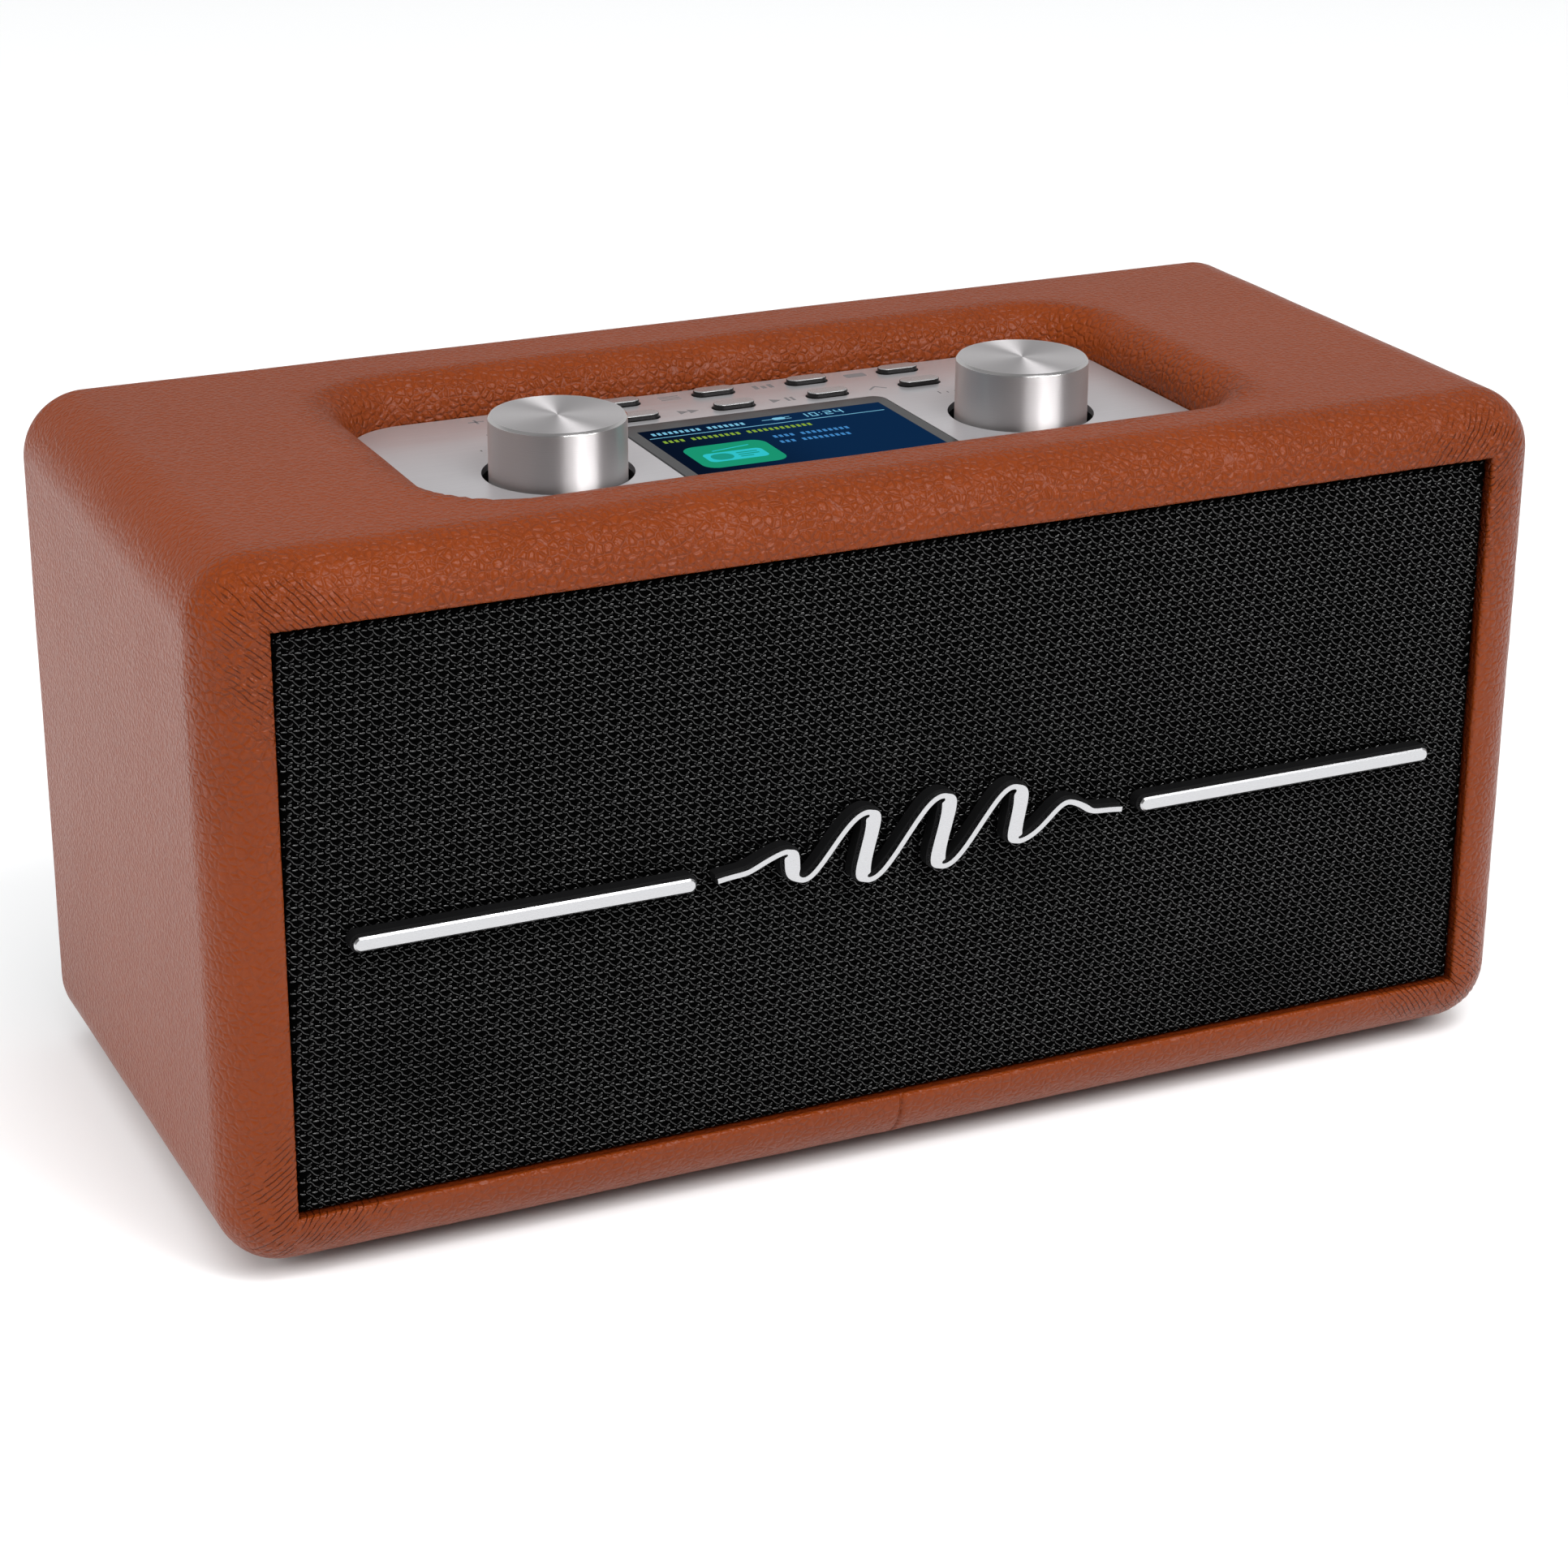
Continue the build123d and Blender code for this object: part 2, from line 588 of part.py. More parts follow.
for name, (x, y) in zip(("volume", "tuning"), KNOBS):
    with BuildPart() as encoder:
        with BuildSketch(level(BOARD_TOP)):
            with Locations((x, y)):
                Rectangle(12.4, 13.2)
        extrude(amount=WELL_BASE - BOARD_TOP)
        with BuildSketch(level(WELL_BASE)):
            with Locations((x, y)):
                Circle(3.5)
        extrude(amount=5.3)
        with BuildSketch(level(128.3)):
            with Locations((x, y)):
                Circle(4.6)
        extrude(amount=3.9, mode=Mode.SUBTRACT)
        with BuildSketch(level(128.3)):
            with Locations((x, y)):
                Circle(SHAFT_R + SHAFT_CLEARANCE)
        extrude(amount=12, mode=Mode.SUBTRACT)
    keep(encoder, f"{name}_encoder")

    with BuildPart() as plunger:
        with BuildSketch(level(129.2)):
            with Locations((x, y)):
                Circle(4.2)
        extrude(amount=1.8)
    keep(plunger, f"{name}_plunger")

    with BuildPart() as shaft:
        with BuildSketch(level(SHAFT_BASE)):
            with Locations((x, y)):
                Circle(SHAFT_R)
        extrude(amount=19)
    keep(shaft, f"{name}_shaft")

    with BuildPart() as knob:
        with BuildSketch(level(KNOB_BASE)):
            with Locations((x, y)):
                Circle(KNOB_R)
        extrude(amount=KNOB_TOP - KNOB_BASE)
        chamfer(knob.faces().sort_by(Axis.Z)[-1].edges(), 0.5)
        with BuildSketch(level(KNOB_BASE)):
            with Locations((x, y)):
                Circle(11.5)
        extrude(amount=8, mode=Mode.SUBTRACT)
        with BuildSketch(level(140.3)):
            with Locations((x, y)):
                Circle(5.5)
        extrude(amount=7)
        with BuildSketch(level(140.3)):
            with Locations((x, y)):
                Circle(SHAFT_R)
        extrude(amount=SHAFT_BASE + 19 - 140.3, mode=Mode.SUBTRACT)
    keep(knob, f"{name}_knob")

# ================================================================ back panel and its fittings
PANEL_IN_Y = PANEL_Y - PANEL_T
BOSS_R = 7.0
PIN_R = 4.0
PIN_CLEARANCE = 0.05
SWITCH_W = 19.0
SWITCH_H = 13.0
JACK_NOSE_R = 4.0
INLET_NOSE_R = 5.5

with BuildPart() as back_panel:
    with BuildSketch(upright(PANEL_Y)):
        with Locations((0, MID_Z)):
            Rectangle(CAVITY_X - 0.4, CAVITY_Z - 0.4)
    extrude(amount=PANEL_T)
    with BuildSketch(upright(BACK_Y)):
        with Locations((AERIAL_X, AERIAL_Z)):
            Circle(BOSS_R)
    extrude(amount=PANEL_SET_BACK)
    with BuildSketch(upright(BACK_Y)):
        with Locations((AERIAL_X, AERIAL_Z)):
            Circle(PIN_R + PIN_CLEARANCE)
        with Locations((0, PORT_Z)):
            Circle(PORT_R + 2)
        with Locations((INLET_X, SOCKET_Z)):
            Circle(INLET_NOSE_R)
        with Locations((JACK_X, SOCKET_Z)):
            Circle(JACK_NOSE_R)
        with Locations((SWITCH_X, SOCKET_Z)):
            Rectangle(SWITCH_W, SWITCH_H)
        with Locations(*BACK_SCREWS):
            Circle(SCREW_R)
    extrude(amount=PANEL_T + PANEL_SET_BACK, mode=Mode.SUBTRACT)
keep(back_panel, "back_panel")

with BuildPart() as bass_port:
    with BuildSketch(upright(PANEL_Y + 2)):
        with Locations((0, PORT_Z)):
            Circle(24)
    extrude(amount=2)
    fillet(bass_port.faces().sort_by(Axis.Y)[-1].edges(), 1.2)
    with BuildSketch(upright(PANEL_Y)):
        with Locations((0, PORT_Z)):
            Circle(PORT_R + 2)
    extrude(amount=56)
    with BuildSketch(upright(PANEL_Y + 2)):
        with Locations((0, PORT_Z)):
            Circle(PORT_R)
    extrude(amount=58, mode=Mode.SUBTRACT)
    fillet(bass_port.faces().sort_by(Axis.Y)[-1].inner_wires()[0].edges(), 1.6)
keep(bass_port, "bass_port")

BOARD_Y = 41.0
with BuildPart() as main_board:
    with BuildSketch(upright(BOARD_Y)):
        with Locations((0, 44)):
            RectangleRounded(116, 32, 2)
    extrude(amount=BOARD_T)
    # coils, capacitors and the amplifier with its cooling fins, on the inner side
    with BuildSketch(upright(BOARD_Y - BOARD_T)):
        with Locations((-42, 44), (-26, 44)):
            Circle(5)
        with Locations((10, 44)):
            Rectangle(22, 22)
        with Locations((42, 44)):
            Rectangle(18, 16)
    extrude(amount=9)
    with BuildSketch(upright(BOARD_Y - BOARD_T - 4)):
        with Locations((10, 44)):
            with GridLocations(4.4, 1, 4, 1):
                Rectangle(2.4, 23)
    extrude(amount=6, mode=Mode.SUBTRACT)
keep(main_board, "main_board")

with BuildPart() as power_inlet:
    with BuildSketch(upright(PANEL_IN_Y)):
        with Locations((INLET_X, SOCKET_Z)):
            Rectangle(13, 12)
    extrude(amount=PANEL_IN_Y - BOARD_Y)
    with BuildSketch(upright(PANEL_Y + 0.6)):
        with Locations((INLET_X, SOCKET_Z)):
            Circle(INLET_NOSE_R)
    extrude(amount=PANEL_T + 0.6)
    with BuildSketch(upright(PANEL_Y + 0.6)):
        with Locations((INLET_X, SOCKET_Z)):
            Circle(3.4)
            Circle(1.0, mode=Mode.SUBTRACT)
    extrude(amount=10, mode=Mode.SUBTRACT)
keep(power_inlet, "power_inlet")

JACK_BORE_R = 1.8
JACK_BORE_LENGTH = 13.0
with BuildPart() as aux_jack:
    with BuildSketch(upright(PANEL_IN_Y)):
        with Locations((JACK_X, SOCKET_Z)):
            Rectangle(12, 10)
    extrude(amount=PANEL_IN_Y - BOARD_Y)
    with BuildSketch(upright(PANEL_Y + 0.6)):
        with Locations((JACK_X, SOCKET_Z)):
            Circle(JACK_NOSE_R)
    extrude(amount=PANEL_T + 0.6)
    with BuildSketch(upright(PANEL_Y + 0.6)):
        with Locations((JACK_X, SOCKET_Z)):
            Circle(JACK_BORE_R)
    extrude(amount=JACK_BORE_LENGTH, mode=Mode.SUBTRACT)
keep(aux_jack, "aux_jack")

ROCKER_Y = PANEL_Y - 4.2
ROCKER_R = 7.4
with BuildPart() as switch_housing:
    with BuildSketch(upright(PANEL_Y + 1.4)):
        with Locations((SWITCH_X, SOCKET_Z)):
            RectangleRounded(SWITCH_W + 3, SWITCH_H + 3, 1.5)
    extrude(amount=1.4)
    with BuildSketch(upright(PANEL_Y)):
        with Locations((SWITCH_X, SOCKET_Z)):
            Rectangle(SWITCH_W, SWITCH_H)
    extrude(amount=PANEL_Y - BOARD_Y)
    with BuildSketch(upright(PANEL_Y + 1.4)):
        with Locations((SWITCH_X, SOCKET_Z)):
            Rectangle(2 * ROCKER_R + 1, SWITCH_H - 3)
    extrude(amount=14, mode=Mode.SUBTRACT)
    with BuildSketch(level(SOCKET_Z - SWITCH_H / 2)):
        with Locations((SWITCH_X, ROCKER_Y)):
            Circle(1.25)
    extrude(amount=SWITCH_H, mode=Mode.SUBTRACT)
keep(switch_housing, "switch_housing")

# The rocker is a slice of a drum with two flats on its outer side that meet in a shallow V.
# It rests tilted by half its throw.
ROCKER_THROW = 16.0
with BuildPart() as power_rocker:
    with BuildSketch(Plane.XY.offset(SOCKET_Z - SWITCH_H / 2 + 1.8)):
        with Locations((SWITCH_X, ROCKER_Y)):
            Circle(ROCKER_R)
            with Locations(Location((0, 0, 0), -ROCKER_THROW / 2)):
                with BuildLine(mode=Mode.PRIVATE) as flats:
                    Polyline((-9, 3.9), (0, 5.2), (9, 3.9), (9, 9), (-9, 9), close=True)
                make_face(flats.edges(), mode=Mode.SUBTRACT)
    extrude(amount=SWITCH_H - 3.6)
    with BuildSketch(level(SOCKET_Z - SWITCH_H / 2 + 0.4)):
        with Locations((SWITCH_X, ROCKER_Y)):
            Circle(1.2)
    extrude(amount=SWITCH_H - 0.8)
keep(power_rocker, "power_rocker")

with BuildPart() as battery_pack:
    with BuildSketch(Plane.YZ.offset(-112)):
        with Locations((8, FLOOR_Z + 9.5)):
            SlotOverall(37.5, 19)
    extrude(amount=68)
keep(battery_pack, "battery_pack")

# ================================================================ whip aerial
# A swivelling fork on the back panel carries the mast, which lies along the back at rest.
KNUCKLE_R = 6.2
TONGUE_T = 3.0
SLOT_T = 3.5
HINGE_R = 1.2
FORK_Y = BACK_Y + 0.4
with BuildPart() as antenna_knuckle:
    with BuildSketch(upright(BACK_Y + MAST_PROUD)):
        with Locations((AERIAL_X, AERIAL_Z)):
            Circle(KNUCKLE_R)
    extrude(amount=BACK_Y + MAST_PROUD - FORK_Y)
    fillet(antenna_knuckle.faces().sort_by(Axis.Y)[-1].edges(), 1.5)
    with BuildSketch(upright(FORK_Y)):
        with Locations((AERIAL_X, AERIAL_Z)):
            Circle(PIN_R)
    extrude(amount=FORK_Y - PANEL_IN_Y + 4)
    with BuildSketch(upright(PANEL_IN_Y - 0.4)):
        with Locations((AERIAL_X, AERIAL_Z)):
            Circle(6)
    extrude(amount=2)
    with BuildSketch(level(AERIAL_Z - SLOT_T / 2)):
        with Locations((AERIAL_X, MAST_Y + 1)):
            Rectangle(2 * KNUCKLE_R + 1, 2 * MAST_R + 2.2)
    extrude(amount=SLOT_T, mode=Mode.SUBTRACT)
    with BuildSketch(level(AERIAL_Z - 4.5)):
        with Locations((AERIAL_X, MAST_Y)):
            Circle(HINGE_R)
    extrude(amount=9)
keep(antenna_knuckle, "antenna_knuckle")

TUBE_X = AERIAL_X - KNUCKLE_R - 1.8
TIP_X = TUBE_X - MAST_LENGTH
MIDDLE_R = 2.7
INNER_R = 1.9
TUBE_CLEARANCE = 0.05


def along(x):
    """A plane across the aerial at x, facing its hinge."""
    return Plane(origin=(x, MAST_Y, AERIAL_Z), x_dir=(0, 1, 0), z_dir=(1, 0, 0))


with BuildPart() as antenna_outer:
    with BuildSketch(along(TIP_X)):
        Circle(MAST_R)
    extrude(amount=MAST_LENGTH)
    with BuildSketch(along(TIP_X)):
        Circle(MIDDLE_R + TUBE_CLEARANCE)
    extrude(amount=MAST_LENGTH - 4, mode=Mode.SUBTRACT)
    chamfer(antenna_outer.faces().sort_by(Axis.X)[-1].edges(), 0.7)
    with BuildSketch(level(AERIAL_Z - TONGUE_T / 2)):
        with Locations((AERIAL_X, MAST_Y)):
            Circle(3.3)
        with Locations(((AERIAL_X + TUBE_X) / 2 - 0.5, MAST_Y)):
            Rectangle(AERIAL_X - TUBE_X + 1, 4.6)
        with Locations((AERIAL_X, MAST_Y)):
            Circle(HINGE_R + SHAFT_CLEARANCE, mode=Mode.SUBTRACT)
    extrude(amount=TONGUE_T)
keep(antenna_outer, "antenna_outer")

with BuildPart() as antenna_middle:
    with BuildSketch(along(TIP_X - 2)):
        Circle(MIDDLE_R)
    extrude(amount=MAST_LENGTH - 8)
    with BuildSketch(along(TIP_X - 2)):
        Circle(INNER_R + TUBE_CLEARANCE)
    extrude(amount=MAST_LENGTH - 12, mode=Mode.SUBTRACT)
keep(antenna_middle, "antenna_middle")

with BuildPart() as antenna_tip:
    with BuildSketch(along(TIP_X - 2.3)):
        Circle(INNER_R)
    extrude(amount=MAST_LENGTH - 18)
    with BuildSketch(along(TIP_X - 8.3)):
        Circle(3.2)
    extrude(amount=6)
    fillet(antenna_tip.faces().group_by(Axis.X)[0].edges(), 1.4)
keep(antenna_tip, "antenna_tip")

# ================================================================ screws, all of one kind
SCREW_PLACES = [Plane(origin=(x, PANEL_Y, z), z_dir=(0, 1, 0)) for x, z in BACK_SCREWS]
SCREW_PLACES += [Plane(origin=(x, BAFFLE_Y, z), z_dir=(0, -1, 0)) for x, z in DRIVER_SCREWS]
SCREW_PLACES += [Plane(origin=(x, y, FLANGE_BASE), z_dir=(0, 0, -1)) for x, y in TRAY_SCREWS]
SCREW_PLACES += [Plane(origin=(x, y, BOARD_TOP - BOARD_T), z_dir=(0, 0, -1)) for x, y in POSTS]
SCREW_PLACES += [Plane(origin=(x, y, 0.6 + SCREW_HEAD_T), z_dir=(0, 0, -1)) for x, y in FEET]

with BuildPart() as screws:
    for place in SCREW_PLACES:
        with BuildSketch(place):
            Circle(SCREW_HEAD_R)
        extrude(amount=SCREW_HEAD_T)
        with BuildSketch(place):
            Circle(SCREW_R)
        extrude(amount=-SCREW_LENGTH)
        # cross slot in the head
        with BuildSketch(place.offset(SCREW_HEAD_T)):
            Rectangle(3.4, 0.8)
            Rectangle(0.8, 3.4)
        extrude(amount=-0.9, mode=Mode.SUBTRACT)
keep(screws, "screws")
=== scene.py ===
"""A leather-covered table radio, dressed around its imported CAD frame.

Sizes in this file are in millimetres, in the frame's own axes: X runs along the front from
left to right, Y from front to back, Z up. Meshes are turned into metres when they are made.
"""

from math import atan2, cos, hypot, pi, radians, sin

import bmesh
import bpy
import numpy as np
from mathutils import Matrix, Vector


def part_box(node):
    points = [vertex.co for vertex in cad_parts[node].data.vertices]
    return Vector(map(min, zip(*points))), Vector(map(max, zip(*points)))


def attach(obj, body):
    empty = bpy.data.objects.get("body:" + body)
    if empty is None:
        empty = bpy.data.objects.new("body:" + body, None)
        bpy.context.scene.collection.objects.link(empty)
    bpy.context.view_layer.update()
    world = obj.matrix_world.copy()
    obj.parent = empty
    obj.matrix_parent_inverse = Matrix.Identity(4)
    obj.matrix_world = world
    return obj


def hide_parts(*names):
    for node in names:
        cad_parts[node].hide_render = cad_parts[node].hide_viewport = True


MM = 0.001
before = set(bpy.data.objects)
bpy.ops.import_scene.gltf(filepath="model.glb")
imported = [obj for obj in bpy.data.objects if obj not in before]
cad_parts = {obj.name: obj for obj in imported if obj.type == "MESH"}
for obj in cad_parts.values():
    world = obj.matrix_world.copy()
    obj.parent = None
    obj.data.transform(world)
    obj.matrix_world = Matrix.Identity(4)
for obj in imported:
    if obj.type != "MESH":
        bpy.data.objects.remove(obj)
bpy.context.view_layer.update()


def span(node):
    """A CAD node's lowest and highest corners, in millimetres."""
    low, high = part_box(node)
    return np.array(low) / MM, np.array(high) / MM


# -------- places read from the frame
(_, FRONT, SOLE), (RIGHT, BACK, TOP) = span("leather_wrap")
MID_Y = (FRONT + BACK) / 2
MID_Z = (SOLE + TOP) / 2
(CLOTH_LOW_X, CLOTH_FRONT, CLOTH_LOW_Z), (CLOTH_HIGH_X, CLOTH_BACK, CLOTH_HIGH_Z) = span("grille_cloth")
BAFFLE_FACE = span("front_baffle")[0][1]
PLATE_LOW, PLATE_HIGH = span("control_plate")
KNOB_WIDTH = np.ptp(span("volume_knob"), axis=0)[0]
WINDOW_LOW, WINDOW_HIGH = span("display_window")

# -------- sizes that the frame's boxes don't give
SIDE_R = 13.8  # edges that run from front to back
FRONT_R = 12.2
BACK_R = 5.8
PANEL_SET_BACK = 3.0
OPENING_GAP = 0.3  # between the cloth panel and the leather lining
LIP = 0.8  # rounding where the leather turns into an opening
RIM_R = 9.0  # roll down into the control recess
RECESS_R = 15.5
PLATE_GAP = 0.3
CLOTH_EDGE_R = 1.1
PULL = 0.85  # sideways lean of the creases at the opening's corners
PEBBLE = 1.8  # width of the leather's pebbles
CRUMB = 0.95  # width of the finer cells between them
CREASE_PITCH = 1.5
WEAVE_FINE = 0.43  # one thread of the mesh behind the raised threads

OPENING = np.array([CLOTH_HIGH_X + OPENING_GAP, CLOTH_HIGH_Z - MID_Z + OPENING_GAP])
HALF = np.array([RIGHT, TOP - MID_Z])
CORE = HALF - SIDE_R  # centres of the four corner arcs
RECESS = (PLATE_HIGH - PLATE_LOW)[:2] / 2 + PLATE_GAP
RECESS_CORE = RECESS - RECESS_R


# ======== materials
class Wire:
    """One value on its way through a material's nodes, with ordinary arithmetic."""

    def __init__(self, shade, socket):
        self.shade = shade
        self.socket = socket

    def __add__(self, other):
        return self.shade.math("ADD", self, other)

    def __sub__(self, other):
        return self.shade.math("SUBTRACT", self, other)

    def __rsub__(self, other):
        return self.shade.math("SUBTRACT", other, self)

    def __mul__(self, other):
        return self.shade.math("MULTIPLY", self, other)

    def above(self, other):
        return self.shade.math("MAXIMUM", self, other)

    def below(self, other):
        return self.shade.math("MINIMUM", self, other)

    def size(self):
        return self.shade.math("ABSOLUTE", self)


class Shade:
    """A material being put together: its node tree and short ways to add to it."""

    def __init__(self, name, **surface):
        self.material = bpy.data.materials.new(name)
        self.material.use_nodes = True
        self.tree = self.material.node_tree
        self.surface = self.tree.nodes["Principled BSDF"]
        self.coordinates = None
        for key, value in surface.items():
            self.give(key, value)

    def give(self, key, value):
        """Sets or links one of the shader's own sockets, named like base_color."""
        label = "Specular IOR Level" if key == "specular" else key.replace("_", " ").title()
        socket = self.surface.inputs[label]
        if isinstance(value, Wire):
            self.tree.links.new(value.socket, socket)
        else:
            socket.default_value = (*value, 1.0) if isinstance(value, tuple) else value

    def node(self, kind, inputs=(), **settings):
        made = self.tree.nodes.new(kind)
        for key, value in settings.items():
            setattr(made, key, value)
        for key, value in dict(inputs).items():
            if isinstance(value, Wire):
                self.tree.links.new(value.socket, made.inputs[key])
            else:
                made.inputs[key].default_value = value
        return made

    def math(self, operation, *values):
        made = self.node("ShaderNodeMath", enumerate(values), operation=operation)
        return Wire(self, made.outputs[0])

    def place(self, stretch=(1.0, 1.0, 1.0)):
        """The point on the piece at rest, in millimetres, divided by stretch along each axis."""
        if self.coordinates is None:
            self.coordinates = Wire(self, self.node("ShaderNodeTexCoord").outputs["Object"])
        scale = tuple(1 / (MM * s) for s in stretch)
        made = self.node("ShaderNodeVectorMath", {0: self.coordinates, 1: scale}, operation="MULTIPLY")
        return Wire(self, made.outputs[0])

    def parts(self, vector):
        """A vector's X, Y and Z."""
        return [Wire(self, out) for out in self.node("ShaderNodeSeparateXYZ", {0: vector}).outputs]

    def axes(self):
        """X, Y and Z of the point on the piece at rest, in millimetres."""
        return self.parts(self.place())

    def noise(self, size, detail=2.0, distortion=0.0, stretch=(1.0, 1.0, 1.0)):
        """Soft unevenness of about the given size in millimetres, from 0 to 1."""
        made = self.node(
            "ShaderNodeTexNoise",
            {"Vector": self.place(stretch), "Scale": 1 / size, "Detail": detail, "Distortion": distortion},
        )
        return Wire(self, made.outputs["Fac"])

    def cells(self, size, wander=0.0):
        """Distance to the nearest cell border of an irregular net, in cell sizes."""
        where = self.place()
        if wander:
            drift = self.node("ShaderNodeTexNoise", {"Vector": where, "Scale": 0.6 / size, "Detail": 1.0})
            push = self.node(
                "ShaderNodeVectorMath",
                {0: Wire(self, drift.outputs["Color"]), 1: (wander,) * 3, 2: where},
                operation="MULTIPLY_ADD",
            )
            where = Wire(self, push.outputs[0])
        made = self.node(
            "ShaderNodeTexVoronoi", {"Vector": where, "Scale": 1 / size}, feature="DISTANCE_TO_EDGE"
        )
        return Wire(self, made.outputs["Distance"])

    def step(self, value, low, high, out_low=0.0, out_high=1.0):
        """A smooth rise from out_low to out_high as value goes from low to high."""
        made = self.node(
            "ShaderNodeMapRange",
            {"Value": value, "From Min": low, "From Max": high, "To Min": out_low, "To Max": out_high},
            interpolation_type="SMOOTHSTEP",
        )
        return Wire(self, made.outputs[0])

    def colours(self, value, stops):
        """Colours along a value, as {place: colour}."""
        made = self.node("ShaderNodeValToRGB", {0: value})
        ramp = made.color_ramp
        for k, (spot, colour) in enumerate(stops.items()):
            stop = ramp.elements[k] if k < 2 else ramp.elements.new(spot)
            stop.position = spot
            stop.color = (*colour, 1.0)
        return Wire(self, made.outputs[0])

    def blend(self, factor, first, second):
        """From one colour to another."""
        made = self.node("ShaderNodeMix", {0: factor}, data_type="RGBA")
        for index, value in ((6, first), (7, second)):
            if isinstance(value, Wire):
                self.tree.links.new(value.socket, made.inputs[index])
            else:
                made.inputs[index].default_value = (*value, 1.0)
        return Wire(self, made.outputs[2])

    def relief(self, height, depth):
        """Bumps of the given depth in millimetres where height goes from 0 to 1."""
        made = self.node("ShaderNodeBump", {"Height": height, "Distance": depth * MM, "Strength": 1.0})
        self.give("normal", Wire(self, made.outputs[0]))

    def spun(self):
        """A grain that runs in circles round the piece's own upright middle line."""
        made = self.node("ShaderNodeTangent", direction_type="RADIAL", axis="Z")
        self.give("tangent", Wire(self, made.outputs[0]))


def rolled_areas(shade, x, y, z):
    """How coarse the leather's grain is, from 0 to 1: most where it bends over a roll."""
    over_front = shade.step(y, FRONT + 18, FRONT + 7) * shade.step(z, MID_Z, TOP - 20, 0.3, 1.0)
    over_back = shade.step(y, BACK - 9, BACK - 3)
    beyond_x = (x.size() - RECESS_CORE[0]).above(0.0)
    beyond_y = ((y - MID_Y).size() - RECESS_CORE[1]).above(0.0)
    reach = shade.math("SQRT", beyond_x * beyond_x + beyond_y * beyond_y)
    in_recess = shade.step(reach, RECESS_R + 13, RECESS_R + 6) * shade.step(z, TOP - 14, TOP - 11)
    rolled = over_front.above(over_back * 0.5).above(in_recess)
    return rolled * shade.step(shade.noise(13.0, detail=1.0), 0.25, 0.6, 0.45, 1.0)


def pulled_creases(shade, x, y, z):
    """Creases that lean from each corner of the front opening out over the roll, and the
    distance out from the opening."""
    beside = x.size() - OPENING[0]
    over = (z - MID_Z).size() - OPENING[1]
    out = beside.above(over)
    start = out * PULL - beside.below(over)
    drift = shade.noise(9.0, detail=1.0) * 1.8 + shade.noise(2.6, detail=1.0) * 0.9
    wave = shade.math("SINE", (start + drift) * (pi / CREASE_PITCH))
    crease = 1.0 - shade.step(wave.size(), 0.0, 0.4)
    broken = shade.step(shade.noise(2.8, detail=1.0), 0.36, 0.56)
    near_corner = shade.step(start, 27.0, 12.0) * shade.step(out, 13.0, 5.0)
    fading = near_corner * shade.step(y, FRONT + 10, FRONT + 4)
    return crease * broken * fading, out


def leather():
    """Pebbled orange-brown leather: coarse grain where it is stretched over a roll, fine flat
    grain elsewhere, pulled creases at the front opening's corners, painted shade along the
    pebbles' borders and in the creases, and painted shade on the walls inside the openings."""
    shade = Shade("leather", specular=0.19)
    x, y, z = shade.axes()
    coarse = rolled_areas(shade, x, y, z)
    creased, out = pulled_creases(shade, x, y, z)

    net = shade.cells(PEBBLE, wander=0.6)
    slope = shade.step(net, 0.0, 0.4)
    pebble = slope * (2.0 - slope)
    crumb = shade.step(shade.cells(CRUMB, wander=0.7), 0.0, 0.4)
    pores = shade.noise(0.45, detail=2.0)
    grain = pebble * (coarse * 0.55 + 0.3) + crumb * (coarse * 0.1 + 0.08) + pores * 0.07
    shade.relief(grain - creased * 1.3, 0.36)

    tone = shade.colours(
        shade.noise(60.0, detail=2.0) * 0.4 + shade.noise(1.1, detail=2.0) * 0.6,
        {0.3: (0.142, 0.0232, 0.0023), 0.7: (0.172, 0.0298, 0.0034)},
    )
    # painted shade: the leather turned into the openings is darkened almost to the near-black colour below
    painted_opening_shade = shade.step(y, FRONT + 0.5, FRONT + 1.3) * shade.step(out, 0.5, 0.05)
    # painted shade: the colour is darkened along the pebbles' borders, most where the grain is coarse, and
    # along the creases
    painted_shade = (1.0 - shade.step(net, 0.0, 0.07)) * (coarse * 0.26 - 0.02) + creased * 0.55
    painted_shade = painted_shade.above(painted_opening_shade * 0.85)
    # the near-black colour that all the painted shade blends towards
    shade.give("base_color", shade.blend(painted_shade, tone, (0.05, 0.0065, 0.0012)))
    shade.give("roughness", shade.step(pores, 0.3, 0.7, 0.30, 0.40))
    return shade.material


def woven_ground():
    """The dark mesh behind the raised threads of the grille cloth."""
    shade = Shade("cloth ground", specular=0.0)
    x, _, z = shade.axes()
    warp = shade.math("SINE", x * (2 * pi / WEAVE_FINE))
    weft = shade.math("SINE", z * (2 * pi / WEAVE_FINE))
    shade.relief((warp * weft) * 0.5 + 0.5, 0.08)
    shade.give("base_color", shade.blend(shade.noise(1.2), (0.0005,) * 3, (0.0012,) * 3))
    shade.give("roughness", shade.step(shade.noise(3.0), 0.3, 0.7, 0.75, 0.9))
    return shade.material


def yarn():
    """Smooth black synthetic thread with fine filaments."""
    shade = Shade("black yarn", specular=0.6)
    strands = shade.noise(0.12, detail=1.0, stretch=(1.0, 1.0, 3.0))
    shade.relief(strands, 0.02)
    tone = shade.blend(shade.noise(14.0, detail=3.0), (0.0016, 0.0016, 0.0017), (0.0032, 0.0032, 0.0033))
    shade.give("base_color", tone)
    shade.give("roughness", shade.step(strands, 0.3, 0.7, 0.14, 0.24))
    return shade.material


